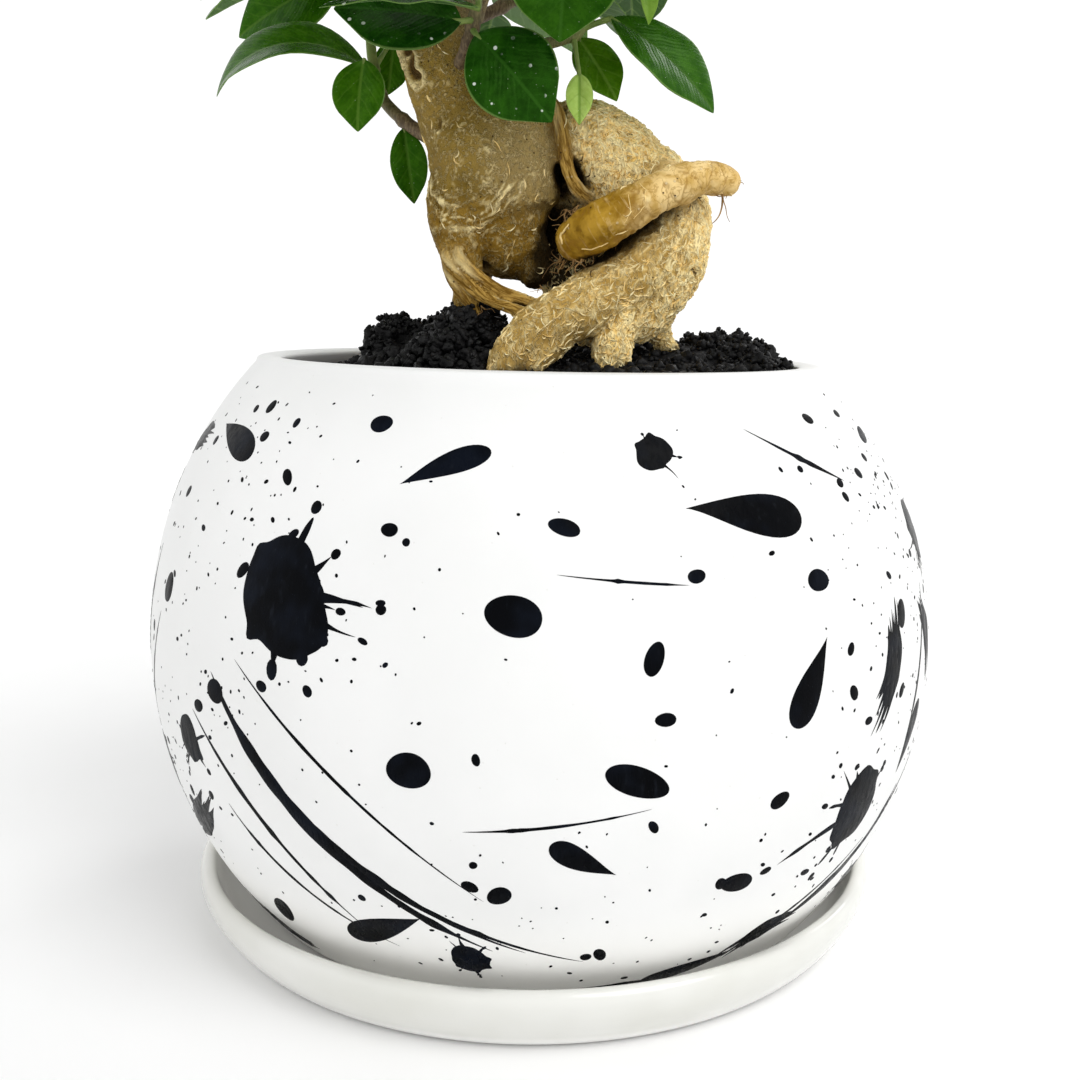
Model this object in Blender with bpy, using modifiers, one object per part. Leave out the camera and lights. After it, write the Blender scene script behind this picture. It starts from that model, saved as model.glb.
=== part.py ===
"""Potted ginseng ficus: a swollen trunk with grafted leafy stems, in a ball-shaped pot on a saucer.

Metres, +Z up. The origin is the middle of the floor under the saucer, and the plant's show side faces -Y.
Lists of points along roots and twigs are in millimetres, which is how they were measured.
"""

import math
import random
from collections import namedtuple
from itertools import product

import bmesh
import bpy
import numpy as np
from mathutils import Matrix, Quaternion, Vector, noise
from mathutils.bvhtree import BVHTree

MM = 0.001
GAP = 0.3 * MM  # room between two pieces that touch on the real thing
MERGE = 0.00001
TURN_STEPS = 32  # sides of each turned piece

# Pot: a ball cut flat at the rim and at the foot
POT_RADIUS = 90 * MM
POT_CENTRE_Z = 65 * MM
POT_WALL = 4 * MM
RIM_Z = 129 * MM
LIP_ROUND = 1.4 * MM
RIM_SLOPE = 0.021  # the rim was trimmed by hand and stands a little lower at +X
POT_FLOOR = 6 * MM
DRAIN_RADIUS = 7 * MM
FOOT_RING = 5 * MM
FOOT_RECESS = 1.5 * MM

# Saucer: a shallow dish with a rolled lip
SAUCER_RADIUS = 80 * MM
SAUCER_HEIGHT = 14 * MM
SAUCER_PLATE_TOP = 4 * MM
SAUCER_PLATE_UNDER = 1 * MM
SAUCER_FOOT_RADIUS = 73 * MM
SAUCER_LIP = 4.2 * MM
SAUCER_OFFSET = (-1.4 * MM, -1.8 * MM)  # the pot doesn't stand quite in its middle
POT_FOOT_Z = SAUCER_PLATE_TOP + GAP

# Soil: higher behind the roots, low along the left wall and level with the rim on the right
SOIL_CLEARANCE = 0.35 * MM
SOIL_MIDDLE = 1.2 * MM  # over the rim's plane
SOIL_RISE_BACK = 0.12
SOIL_EDGE_DROP = 7.5 * MM
SOIL_EDGE_LEAN = 5.0 * MM
SOIL_RINGS = (7, 14, 21, 28, 35, 42, 47, 52)  # millimetres from the middle
SOIL_CLOD = 1.8 * MM
SOIL_CLOD_SIZE = 9 * MM
# Heaps on it: x, y, spread and height in millimetres
SOIL_HEAPS = ((-14.5, 5, 7.5, 9.5), (-27, 7, 8, 4.5), (-36, 6, 6, 4.5), (37, 5, 9, 3), (47, -3, 8, 2))
SOIL_EDGE_BAND = 1 * MM  # outside the last ring the soil follows the pot's wall
ROOT_HOLE_CLEARANCE = 0.45 * MM

# Trunk and roots: (x, y, z, radius) in millimetres along each limb
LIMBS = {
    "neck": ((-23.5, 0, 203, 8.2), (-23, 0, 198, 8.3), (-21.6, 0, 192, 8.9), (-18.4, 1, 186, 10.8),
             (-14.4, 1, 180.5, 13.2), (-11.4, 1, 174, 14.5), (-9.8, 1, 167, 14.7),
             (-8.5, 1, 159.5, 12.9), (-5.6, 0, 154, 9.5), (-2.8, -1, 150.6, 6.4), (-1.4, -2, 148.4, 3.8)),
    "shoulder": ((-17, 1, 186, 9), (-7.6, 0, 181, 10), (-5, 0, 174, 10)),
    "left_leg": ((-16.5, -2, 168, 8.6), (-18.2, -5, 162, 7), (-18.6, -7, 157, 5.6), (-17.6, -8, 152, 4.5),
                 (-16.6, -8, 146.5, 3.4), (-16.6, -8, 140, 2.6), (-17.6, -8, 131, 2.2),
                 (-18.6, -7, 121, 1.8)),
    "left_back_leg": ((-12, 9, 170, 9), (-15, 12, 159, 7), (-16.4, 15, 147, 4.6), (-17.4, 18, 134, 4.0),
                      (-18, 20, 120, 3.2)),
    "lobe": ((2.6, 5, 177.5, 7.0), (8.6, 4, 178.0, 9.2), (14.4, 3, 175.2, 10.3), (19.2, 2, 170.4, 10.4),
             (22.8, 1, 165, 10.2)),
    "lobe_back": ((8, 10, 175, 9), (10.6, 13, 166, 10.2), (8.8, 15, 156, 9.4), (9.4, 18, 142, 7.8),
                  (12, 22, 122, 5.5)),
    "arm": ((7.6, -14.5, 154.9, 4.3), (10.4, -16.5, 156.4, 5.0), (15, -18, 158.8, 5.3),
            (21.4, -18.5, 162.9, 4.9), (28.5, -17, 166.4, 4.3), (34.4, -14.5, 168.5, 3.7),
            (38.6, -12.5, 168.4, 3.9), (40.6, -12, 167.9, 3.3)),
    "arm_root": ((31, -13, 167, 4.2), (29, -8, 168, 4.5), (26, -2, 167.5, 5.5)),
    "flank": ((25, 1, 168, 8.8), (28.0, -2, 161.5, 9.8), (27.9, -4, 154, 10.2), (25.0, -6, 147, 10.0),
              (21.5, -8, 141, 8.0)),
    "flank_back": ((23, 8, 160, 9.5), (23.5, 11, 148, 8), (23.5, 14, 136, 5.4), (24.5, 17, 120, 4)),
    "branch": ((25.2, -7, 151.5, 9.4), (17.8, -11, 145.2, 8.0), (9.9, -15, 140.8, 6.8),
               (2.2, -19, 137.4, 5.9), (-3.6, -22, 133.4, 4.9), (-7.4, -24, 129.6, 3.6),
               (-9.6, -25, 123, 2.4)),
    "branch_lobe": ((3.0, -19, 135, 4.6), (-1.6, -22, 130, 3.9), (-3.8, -23, 124, 2.8)),
    "front_foot": ((18.6, -11, 140.5, 6.7), (16.2, -15, 135, 4.7), (15.9, -17, 130.4, 4.1),
                   (15.8, -18, 121, 3.2)),
    "right_foot": ((25.4, -6, 142, 6.2), (27, -4.5, 135.6, 3), (29.5, -2, 131, 2.3), (33.4, 1, 122, 1.9)),
    "cord": ((-1, -4, 187, 1.6), (3.4, -5.2, 184.6, 1.6), (4.9, -5.6, 178.7, 1.6), (5.6, -6, 173, 1.7),
             (6.8, -6.3, 169, 1.8), (9.0, -5, 166, 1.8), (12.5, -1, 164.4, 1.8)),
    "string_a": ((-20.2, -8.5, 155, 1.7), (-20.4, -11.6, 151, 1.5), (-16.5, -13.4, 146.8, 1.3),
                 (-11.9, -15.6, 142.4, 1.3), (-3.9, -19.6, 139.4, 1.3), (2.0, -21, 137, 1.2)),
    "string_b": ((-18.4, -9.5, 155.5, 1.7), (-17.7, -12.4, 151.4, 1.5), (-13.9, -13.4, 147.5, 1.5),
                 (-8.2, -14.4, 143.6, 1.5), (-2.0, -16.5, 141.4, 1.4), (3.6, -18, 140.2, 1.3)),
    "string_c": ((-20.6, -8, 153, 1.6), (-20.2, -11, 148.6, 1.4), (-17.8, -12.4, 144.8, 1.3),
                 (-14.0, -13.6, 139.4, 1.2), (-11, -15, 131, 1.1), (-9.5, -16, 122, 1.0)),
    "graft_left": ((-25.5, 1, 199, 5.6), (-28.5, 2.5, 207, 5.0), (-31, 4, 214.5, 4.4)),
    "graft_right": ((-20.5, -1, 199, 5.6), (-16.5, -0.5, 207, 4.8), (-13, 0.5, 215, 4.2)),
    "graft_back": ((-22, 3, 198, 5.6), (-20.5, 9, 205, 4.6), (-19.5, 13, 212, 4.0)),
}
LIMB_SIDES = 4  # bevel resolution of a limb's tube
CAP_SIDES = 14  # of the ball that rounds off each end of a limb
CAP_RINGS = 8
TRUNK_VOXEL = 1.35 * MM
TRUNK_TRIANGLES = 2700
KNOB_SIZE = 11 * MM
KNOB_HEIGHT = 0.7 * MM

# Leafy stems: radius at the root and the tip, seed of its leaves, distance of its first grown leaf
# and the twig's route, in millimetres
Shoot = namedtuple("Shoot", "name thick thin seed first_leaf route")
SHOOTS = (
    Shoot("shoot_left_low", 1.7, 0.8, 11, 50,
          ((-20.5, 1, 176.2), (-27.3, 4.5, 179.8), (-33.4, 9, 184.5), (-37.7, 13, 189.5), (-39.9, 16, 200),
           (-40, 19, 214), (-43, 25, 226))),
    Shoot("shoot_front", 1.6, 0.8, 12, 34,
          ((-19.5, -3.5, 190.5), (-16, -11.2, 194.6), (-13.6, -13, 202), (-12.5, -18, 211),
           (-11, -26, 222), (-10, -33, 233))),
    Shoot("shoot_right_low", 1.6, 0.8, 13, 48,
          ((-19.5, -1.5, 197.4), (-10, -4.5, 196.9), (0, -6, 196.9), (8.3, -6, 199.2), (13, -5, 206.5),
           (18.5, -4, 217), (27, -4, 227))),
    Shoot("shoot_front_left", 1.7, 0.8, 14, 16,
          ((-28.0, -1.0, 204), (-32.5, -8.5, 209), (-40, -18, 216), (-47, -27, 225), (-51, -34, 236))),
    Shoot("shoot_front_right", 1.8, 0.8, 15, 14,
          ((-15.2, -2.6, 208), (-8.5, -7.5, 215), (1, -13, 226), (9, -20, 236), (14, -27, 248))),
    Shoot("shoot_right", 1.8, 0.8, 16, 14,
          ((-14.8, 2.0, 208.4), (-7, 6, 216), (6, 9, 227), (18, 10, 237), (27, 11, 249))),
    Shoot("shoot_top_right", 1.8, 0.8, 17, 14,
          ((-13.2, 0.6, 213.6), (-10.6, 1.2, 222), (-8, -2, 238), (-4, -4, 254), (-1, -5, 270))),
    Shoot("shoot_top", 1.9, 0.8, 18, 16,
          ((-30.9, 4.0, 213.6), (-30.2, 4.4, 222), (-27, 8, 238), (-24, 12, 255), (-22, 14, 273))),
    Shoot("shoot_left", 1.8, 0.8, 19, 14,
          ((-31.6, 1.4, 208.5), (-39, 0, 215), (-48, -2, 225), (-56, -6, 237), (-61, -9, 250))),
    Shoot("shoot_back_left", 1.8, 0.8, 20, 14,
          ((-29.6, 6.0, 207.5), (-34, 14, 215), (-39, 23, 228), (-44, 32, 240), (-47, 38, 253))),
    Shoot("shoot_back", 1.8, 0.8, 21, 14,
          ((-19.8, 12.0, 207.6), (-18, 20.5, 213.5), (-15, 30, 224), (-13, 39, 236), (-12, 45, 249))),
    Shoot("shoot_back_right", 1.7, 0.8, 22, 14,
          ((-19.6, 9.5, 204.0), (-11.5, 14.5, 208.0), (-1, 22, 215), (10, 28, 224), (19, 31, 236))),
)
TWIG_SIDES = 1  # bevel resolution of a twig
SOCKET_REACH = 9 * MM

# Leaves: elliptic, pointed, folded a little along the midrib
LEAF_LENGTH = 33 * MM
LEAF_RATIO = 0.56  # width over length
LEAF_THICKNESS = 0.7 * MM
LEAF_STATIONS = (0, 0.15, 0.38, 0.62, 0.84, 1)  # where a blade's facets meet, as shares of its length
STALK_LENGTH = 8 * MM
STALK_RADIUS = 0.75 * MM
STALK_SIDES = 3
STALK_INTO_BLADE = 0.15

# Where leaves grow: round each twig at a set turn, drooping low in the crown and rising high in it
LEAF_TURN = math.radians(137.5)
LEAF_SPACING = 8 * MM
SLOPE_LOW = -24  # degrees over level, at CROWN_LOW_Z
SLOPE_HIGH = 34
CROWN_LOW_Z = 200 * MM
CROWN_HIGH_Z = 275 * MM
CROWN_CENTRE = Vector((-17, 0, 225)) * MM
CROWN_TOP_Z = 302 * MM
CROWN_REACH = 87 * MM  # no leaf stands out past the pot's own width
SIZE_TRIES = (1, 0.85, 0.7)
TURN_TRIES = (0, 30, -30, 60, -60, 95, -95, 135, -135, 180)
SLOPE_TRIES = (0, 18, -18, 36)
LEAF_CLEARANCE = 0.6 * MM
SLAB_EDGES = (-1.1, 0, 1.1)  # the room round a blade is a tenth wider than the blade
TWIG_CLEARANCE = 0.8 * MM
TRUNK_CLEARANCE = 1.2 * MM
LIMBS_NEAR_LEAVES_Z = 160  # millimetres

# One leaf, in millimetres and degrees: its stem, where its stalk starts, the blade's two ends, its
# upper side, its width and how far it bends down along its length, folds up along the midrib and twists
Leaf = namedtuple("Leaf", "shoot root base tip up width bend fold twist")
LEFT, FRONT, RIGHT = "shoot_left_low", "shoot_front", "shoot_right_low"
# The lowest leaves on the show side: on the left a broad one, one that arches over, and three that
# hang; in front two that lie to the left, a broad one and a young one; on the right five that hang
PLACED_LEAVES = (
    Leaf(LEFT, (-40, 18, 211), (-46.5, 24, 219), (-73, 27, 205), (-0.25, -0.9, 0.35), 21, 24, 12, 0),
    Leaf(LEFT, (-38.5, 13.5, 192), (-40, 10, 195), (-75.5, 12, 189), (0, -0.5, 0.87), 19, 104, 14, 8),
    Leaf(LEFT, (-37.5, 13, 189.5), (-40, 5, 196), (-41.5, 3, 180), (-0.15, -1, 0.2), 13, 30, 16, 0),
    Leaf(LEFT, (-39.5, 14.5, 196), (-35, 22.5, 204), (-37, 26, 191.5), (0.2, -0.9, 0.3), 9, 30, 14, 0),
    Leaf(LEFT, (-32, 8, 183), (-31.5, 8, 181.5), (-29.5, 9, 164.5), (0.1, -1, 0.15), 9, 20, 16, 0),
    Leaf(FRONT, (-14, -13, 201), (-16.5, -17, 200), (-43, -19, 202), (0, -0.84, 0.54), 22, 16, 8, 0),
    Leaf(FRONT, (-13, -16, 208), (-12.5, -25, 201), (-44, -32, 199.5), (-0.05, -0.35, 0.93), 16, 24, 10, 0),
    Leaf(FRONT, (-14.5, -12.5, 199.5), (-13.5, -16, 197.5), (2.5, -21, 179), (0, -1, 0.2), 20, 26, 10, -6),
    Leaf(FRONT, (-15.5, -12, 196.5), (-12.5, -14, 192), (-5.5, -15.5, 180.5), (0.2, -1, 0.2), 9, 22, 20, 0),
    Leaf(RIGHT, (14, -5, 209), (5.5, -20, 214.5), (4, -26, 194), (0, -0.8, 0.6), 23, 26, 10, 0),
    Leaf(RIGHT, (7, -6, 199), (8.5, -1, 199.5), (17, -5, 185.5), (0.2, -0.9, 0.3), 11, 20, 14, 0),
    Leaf(RIGHT, (9, -6, 200.5), (15.5, -7.5, 202.5), (38, -8.5, 182.5), (0.2, -0.64, 0.76), 18, 34, 10, -8),
    Leaf(RIGHT, (14.5, -4.5, 210), (21.5, -13, 213.5), (23, -15, 199.5), (0.4, -0.9, 0.2), 5.5, 20, 24, 0),
    Leaf(RIGHT, (8, -6, 199), (8.5, -10, 190.5), (8.5, -12.5, 179.5), (0, -1, 0.2), 6.6, 16, 26, 0),
)


def clear_scene():
    for obj in list(bpy.data.objects):
        bpy.data.objects.remove(obj, do_unlink=True)


def new_collection(name, helper=False):
    collection = bpy.data.collections.new(name)
    bpy.context.scene.collection.children.link(collection)
    collection.hide_render = helper
    return collection


def principled(name, colour, roughness):
    material = bpy.data.materials.new(name)
    material.use_nodes = True
    material.diffuse_color = (*colour, 1.0)
    shader = material.node_tree.nodes["Principled BSDF"]
    shader.inputs["Base Color"].default_value = (*colour, 1.0)
    shader.inputs["Roughness"].default_value = roughness
    shader.inputs["Metallic"].default_value = 0.0
    return material


def mesh_object(name, bm, collection, material=None):
    mesh = bpy.data.meshes.new(name)
    bm.to_mesh(mesh)
    bm.free()
    obj = bpy.data.objects.new(name, mesh)
    collection.objects.link(obj)
    if material:
        mesh.materials.append(material)
    return obj


def helper_object(name, bm, collection):
    """A cutter or a guide, which is not a piece of the plant or the pot."""
    obj = mesh_object(name, bm, collection)
    obj.hide_render = True
    obj.display_type = "WIRE"
    return obj


def evaluated_mesh(obj):
    bpy.context.view_layer.update()
    graph = bpy.context.evaluated_depsgraph_get()
    return bpy.data.meshes.new_from_object(obj.evaluated_get(graph))


def apply_modifiers(obj):
    mesh = evaluated_mesh(obj)
    obj.modifiers.clear()
    obj.data = mesh


def shade(obj, sharp_degrees):
    obj.data.shade_smooth()
    obj.data.set_sharp_from_angle(angle=math.radians(sharp_degrees))


def arc(radius, centre_z, z_from, z_to, pieces):
    """Points (r, z) down a circle centred on the axis."""
    first = math.acos((z_from - centre_z) / radius)
    last = math.acos((z_to - centre_z) / radius)
    angles = [first + (last - first) * i / pieces for i in range(pieces + 1)]
    return [(radius * math.sin(a), centre_z + radius * math.cos(a)) for a in angles]


def turned(name, profile, collection, material, closed=False):
    """A piece turned about Z from (r, z) points that run down its outer side."""
    bm = bmesh.new()
    knots = [bm.verts.new((r, 0, z)) for r, z in profile]
    for one, next_one in zip(knots, knots[1:] + knots[:1] if closed else knots[1:]):
        bm.edges.new((one, next_one))
    obj = mesh_object(name, bm, collection, material)
    screw = obj.modifiers.new("turn", "SCREW")
    screw.steps = screw.render_steps = TURN_STEPS
    screw.use_merge_vertices = True
    screw.merge_threshold = MERGE
    return obj


def trim_shift(point):
    """How far the hand-trimmed rim moves a point of the pot or the soil up or down."""
    height_share = max(0.0, point.z - POT_CENTRE_Z) / (RIM_Z - POT_CENTRE_Z)
    return -RIM_SLOPE * point.x * height_share


def build_saucer(collection):
    glaze = principled("white_glaze", (0.86, 0.86, 0.85), 0.12)
    radius, height, plate = SAUCER_RADIUS, SAUCER_HEIGHT, SAUCER_PLATE_TOP
    foot, under = SAUCER_FOOT_RADIUS, SAUCER_PLATE_UNDER
    lip_inside = radius - SAUCER_LIP
    profile = [
        (0, plate),
        (lip_inside - 6.4 * MM, plate),
        (lip_inside - 2.2 * MM, plate + 2.2 * MM),
        (lip_inside, height - 2.4 * MM),
        (lip_inside + 1.2 * MM, height - 0.5 * MM),
        (radius - 1.8 * MM, height),
        (radius, height - 1.6 * MM),
        (radius - 0.6 * MM, height - 5.4 * MM),
        (radius - 3.4 * MM, height - 10.4 * MM),
        (foot, 0),
        (foot - FOOT_RING, 0),
        (foot - FOOT_RING - 1 * MM, under),
        (0, under),
    ]
    saucer = turned("saucer", profile, collection, glaze)
    saucer.location = (*SAUCER_OFFSET, 0)
    apply_modifiers(saucer)
    shade(saucer, 35)


def pot_inner_profile():
    """The pot's inner wall from the lip down to the floor."""
    floor_z = POT_FOOT_Z + POT_FLOOR
    wall = arc(POT_RADIUS - POT_WALL, POT_CENTRE_Z, RIM_Z - LIP_ROUND, floor_z + 4 * MM, 5)
    return wall + [(wall[-1][0] - 4 * MM, floor_z)]


def build_pot(collection):
    clay = principled("white_ceramic", (0.88, 0.88, 0.87), 0.35)
    upper = arc(POT_RADIUS, POT_CENTRE_Z, RIM_Z - LIP_ROUND, POT_CENTRE_Z, 4)
    lower = arc(POT_RADIUS, POT_CENTRE_Z, POT_CENTRE_Z, POT_FOOT_Z + 1.5 * MM, 5)
    foot_radius = lower[-1][0] - 1.5 * MM
    recess_z = POT_FOOT_Z + FOOT_RECESS
    foot = [
        (foot_radius, POT_FOOT_Z),
        (foot_radius - FOOT_RING, POT_FOOT_Z),
        (foot_radius - FOOT_RING - FOOT_RECESS, recess_z),
        (DRAIN_RADIUS, recess_z),
        (DRAIN_RADIUS, POT_FOOT_Z + POT_FLOOR),
    ]
    inner = pot_inner_profile()[::-1]
    lip = [(inner[-1][0] + LIP_ROUND, RIM_Z), (upper[0][0] - LIP_ROUND, RIM_Z)]
    pot = turned("pot", upper + lower[1:] + foot + inner + lip, collection, clay, closed=True)
    apply_modifiers(pot)
    for vertex in pot.data.vertices:
        vertex.co.z += trim_shift(vertex.co)
    shade(pot, 35)


def pot_inner_radius(z):
    """Radius of the pot's faceted inner wall at a height."""
    profile = pot_inner_profile()
    for (r_high, z_high), (r_low, z_low) in zip(profile, profile[1:]):
        if z >= z_low:
            share = (z - z_low) / (z_high - z_low)
            return r_low + (r_high - r_low) * min(share, 1.0)
    return profile[-1][0]


def soil_height(x, y):
    """Top of the soil before the rim's slope is added."""
    reach = math.hypot(x, y)
    share = reach / pot_inner_radius(RIM_Z)
    right_share = x / max(reach, MM)
    edge_drop = SOIL_EDGE_DROP - SOIL_EDGE_LEAN * right_share + max(0.0, SOIL_RISE_BACK * y)
    top = RIM_Z + SOIL_MIDDLE + SOIL_RISE_BACK * y - edge_drop * share**4
    for heap_x, heap_y, spread, height in SOIL_HEAPS:
        distance = math.hypot(x / MM - heap_x, y / MM - heap_y)
        top += height * MM * math.exp(-((distance / spread) ** 2))
    place = Vector((x, y, 0)) / SOIL_CLOD_SIZE
    return top + SOIL_CLOD * (noise.noise(place) + 0.5 * noise.noise(place * 2))


def build_soil(collection, root_hole):
    earth = principled("black_soil", (0.012, 0.011, 0.010), 0.95)
    wall = [(r - SOIL_CLEARANCE, z) for r, z in pot_inner_profile()[1:]]
    floor_z = wall[-1][1] + GAP
    wall[-1] = (wall[-1][0], floor_z)
    top = [(0, RIM_Z)] + [(r * MM, RIM_Z) for r in SOIL_RINGS] + [(pot_inner_radius(RIM_Z), RIM_Z)]
    soil = turned("soil", top + wall + [(0, floor_z)], collection, earth)
    apply_modifiers(soil)
    edge = SOIL_RINGS[-1] * MM + SOIL_EDGE_BAND
    for vertex in soil.data.vertices:
        point = vertex.co
        if point.z > RIM_Z - MM:
            point.z = soil_height(point.x, point.y)
            radius = math.hypot(point.x, point.y)
            if radius > edge:
                out = (pot_inner_radius(point.z) - SOIL_CLEARANCE) / radius
                point.x *= out
                point.y *= out
        point.z += trim_shift(point)
    cut = soil.modifiers.new("root_hole", "BOOLEAN")
    cut.operation = "DIFFERENCE"
    cut.object = root_hole
    apply_modifiers(soil)
    keep_main_body(soil)
    shade(soil, 50)


def keep_main_body(obj):
    """Drops loose scraps and fills sealed hollows: only the largest connected surface stays."""
    bm = bmesh.new()
    bm.from_mesh(obj.data)
    left = set(bm.faces)
    bodies = []
    while left:
        body = {left.pop()}
        front = list(body)
        while front:
            face = front.pop()
            for edge in face.edges:
                for near in edge.link_faces:
                    if near in left:
                        left.discard(near)
                        body.add(near)
                        front.append(near)
        bodies.append(body)
    bodies.sort(key=lambda body: sum(face.calc_area() for face in body), reverse=True)
    scraps = [face for body in bodies[1:] for face in body]
    bmesh.ops.delete(bm, geom=scraps, context="FACES")
    bm.to_mesh(obj.data)
    bm.free()


def limb_curve(collection):
    """All roots and the neck as tubes that swell and narrow along their points."""
    curve = bpy.data.curves.new("limbs", "CURVE")
    curve.dimensions = "3D"
    curve.bevel_depth = MM
    curve.bevel_resolution = LIMB_SIDES
    curve.resolution_u = 5
    curve.use_fill_caps = True
    for points in LIMBS.values():
        spline = curve.splines.new("BEZIER")
        spline.radius_interpolation = "CARDINAL"
        spline.bezier_points.add(len(points) - 1)
        for knot, (x, y, z, radius) in zip(spline.bezier_points, points):
            knot.co = Vector((x, y, z)) * MM
            knot.radius = radius
            knot.handle_left_type = "AUTO"
            knot.handle_right_type = "AUTO"
    limbs = bpy.data.objects.new("limbs", curve)
    collection.objects.link(limbs)
    return limbs


def knob(point):
    """Low swellings of the bark, as a height over the smooth limbs."""
    return KNOB_HEIGHT * noise.noise(point / KNOB_SIZE)


def build_trunk(collection, helpers):
    bark = principled("tan_bark", (0.42, 0.28, 0.12), 0.65)
    limbs = limb_curve(helpers)
    bm = bmesh.new()
    bm.from_mesh(evaluated_mesh(limbs))
    bpy.data.objects.remove(limbs)
    for points in LIMBS.values():
        for x, y, z, radius in (points[0], points[-1]):
            place = Matrix.Translation(Vector((x, y, z)) * MM) @ Matrix.Scale(radius * MM, 4)
            bmesh.ops.create_uvsphere(
                bm, u_segments=CAP_SIDES, v_segments=CAP_RINGS, radius=1, matrix=place
            )
    trunk = mesh_object("trunk", bm, collection, bark)
    remesh = trunk.modifiers.new("grow_together", "REMESH")
    remesh.mode = "VOXEL"
    remesh.voxel_size = TRUNK_VOXEL
    smooth = trunk.modifiers.new("soften", "SMOOTH")
    smooth.factor = 0.5
    smooth.iterations = 3
    apply_modifiers(trunk)
    for vertex in trunk.data.vertices:
        vertex.co += vertex.normal * knob(vertex.co)
    thin = trunk.modifiers.new("thin_out", "DECIMATE")
    thin.ratio = TRUNK_TRIANGLES / (2 * len(trunk.data.polygons))
    apply_modifiers(trunk)
    keep_main_body(trunk)
    return trunk


def root_hole_cutter(trunk, helpers):
    """The roots with a little room round them, which the soil stands clear of."""
    bm = bmesh.new()
    bm.from_mesh(trunk.data)
    hole = helper_object("root_hole", bm, helpers)
    room = hole.modifiers.new("room", "DISPLACE")
    room.strength = ROOT_HOLE_CLEARANCE
    room.mid_level = 0.0
    return hole


def socket_cutters(helpers):
    """A drilled socket in the trunk for the root of each leafy stem."""
    sockets = bpy.data.collections.new("sockets")
    helpers.children.link(sockets)
    for shoot in SHOOTS:
        start = Vector(shoot.route[0]) * MM
        axis = (Vector(shoot.route[1]) * MM - start).normalized()
        depth = SOCKET_REACH + GAP
        turn = axis.to_track_quat("Z", "Y").to_matrix().to_4x4()
        place = Matrix.Translation(start + axis * (depth / 2 - GAP)) @ turn
        bm = bmesh.new()
        radius = (shoot.thick + 0.4) * MM
        bmesh.ops.create_cone(
            bm, cap_ends=True, segments=8, radius1=radius, radius2=radius, depth=depth, matrix=place
        )
        helper_object("socket_" + shoot.name, bm, sockets)
    return sockets


def drill_sockets(trunk, helpers):
    cut = trunk.modifiers.new("sockets", "BOOLEAN")
    cut.operation = "DIFFERENCE"
    cut.operand_type = "COLLECTION"
    cut.collection = socket_cutters(helpers)
    apply_modifiers(trunk)
    keep_main_body(trunk)
    shade(trunk, 60)


def half_width(u):
    """Half a blade's width along its length: fullest before the middle, then drawn out to a point."""
    full = np.clip(np.sin(np.pi * u**0.92), 0, 1) ** 0.75
    return full * (1 - 0.3 * np.clip((u - 0.75) / 0.25, 0, 1))


def blade(leaf, along, across, lift=0.0):
    """Points of a blade, in metres: along is 0 to 1, across is -1 to 1, and lift is off its surface."""
    u, v = np.meshgrid(along, across, indexing="ij")
    base, tip, up = (np.array(point, float) for point in (leaf.base, leaf.tip, leaf.up))
    chord = (tip - base) * MM
    ahead = chord / np.linalg.norm(chord)
    side = np.cross(ahead, up)
    side /= np.linalg.norm(side)
    above = np.cross(side, ahead)
    bend, fold, twist = (math.radians(angle) for angle in (leaf.bend, leaf.fold, leaf.twist))
    start = math.cos(bend / 2) * ahead + math.sin(bend / 2) * above
    rise = math.cos(bend / 2) * above - math.sin(bend / 2) * ahead
    radius = np.linalg.norm(chord) / (2 * math.sin(bend / 2))
    turn = (bend * u)[..., None]
    spine = base * MM + radius * (np.sin(turn) * start - (1 - np.cos(turn)) * rise)
    normal = np.cos(turn) * rise + np.sin(turn) * start
    roll = (twist * u)[..., None]
    right = np.cos(roll) * side + np.sin(roll) * normal
    normal = np.cos(roll) * normal - np.sin(roll) * side
    reach = (half_width(u) * leaf.width * MM / 2)[..., None]
    edge = v[..., None]
    height = np.abs(edge) * reach * math.sin(fold) + lift
    return spine + edge * reach * math.cos(fold) * right + height * normal


def slab_tree(leaf):
    """A blade with the room round it that other leaves stay out of, for overlap tests."""
    room = LEAF_THICKNESS / 2 + LEAF_CLEARANCE
    points = []
    faces = []
    for lift in (room, -room):
        first = len(points)
        points += [Vector(point) for row in blade(leaf, LEAF_STATIONS, SLAB_EDGES, lift) for point in row]
        for row in range(len(LEAF_STATIONS) - 1):
            for column in (0, 1):
                a = first + row * 3 + column
                faces.append((a, a + 1, a + 4, a + 3))
    return BVHTree.FromPolygons(points, faces)


def rod_tree(points, radius):
    """A twig or a stalk as a thick three-sided rod, for overlap tests."""
    corners = []
    faces = []
    for number, point in enumerate(points):
        ahead = points[min(number + 1, len(points) - 1)] - points[max(number - 1, 0)]
        turn = ahead.to_track_quat("Z", "Y")
        for corner in range(3):
            angle = math.tau * corner / 3
            corners.append(point + turn @ Vector((math.cos(angle), math.sin(angle), 0)) * radius)
        if number:
            first = 3 * (number - 1)
            for corner in range(3):
                near = (corner + 1) % 3
                faces.append((first + corner, first + near, first + 3 + near, first + 3 + corner))
    return BVHTree.FromPolygons(corners, faces)


def crown_limbs():
    """Start, run and radii of every straight stretch of the limbs that leaves could touch."""
    stretches = []
    for points in LIMBS.values():
        for near, far in zip(points, points[1:]):
            if max(near[2], far[2]) > LIMBS_NEAR_LEAVES_Z:
                stretches.append((*near, *far))
    table = np.array(stretches)
    return table[:, :3] * MM, (table[:, 4:7] - table[:, :3]) * MM, table[:, 3] * MM, table[:, 7] * MM


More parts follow.
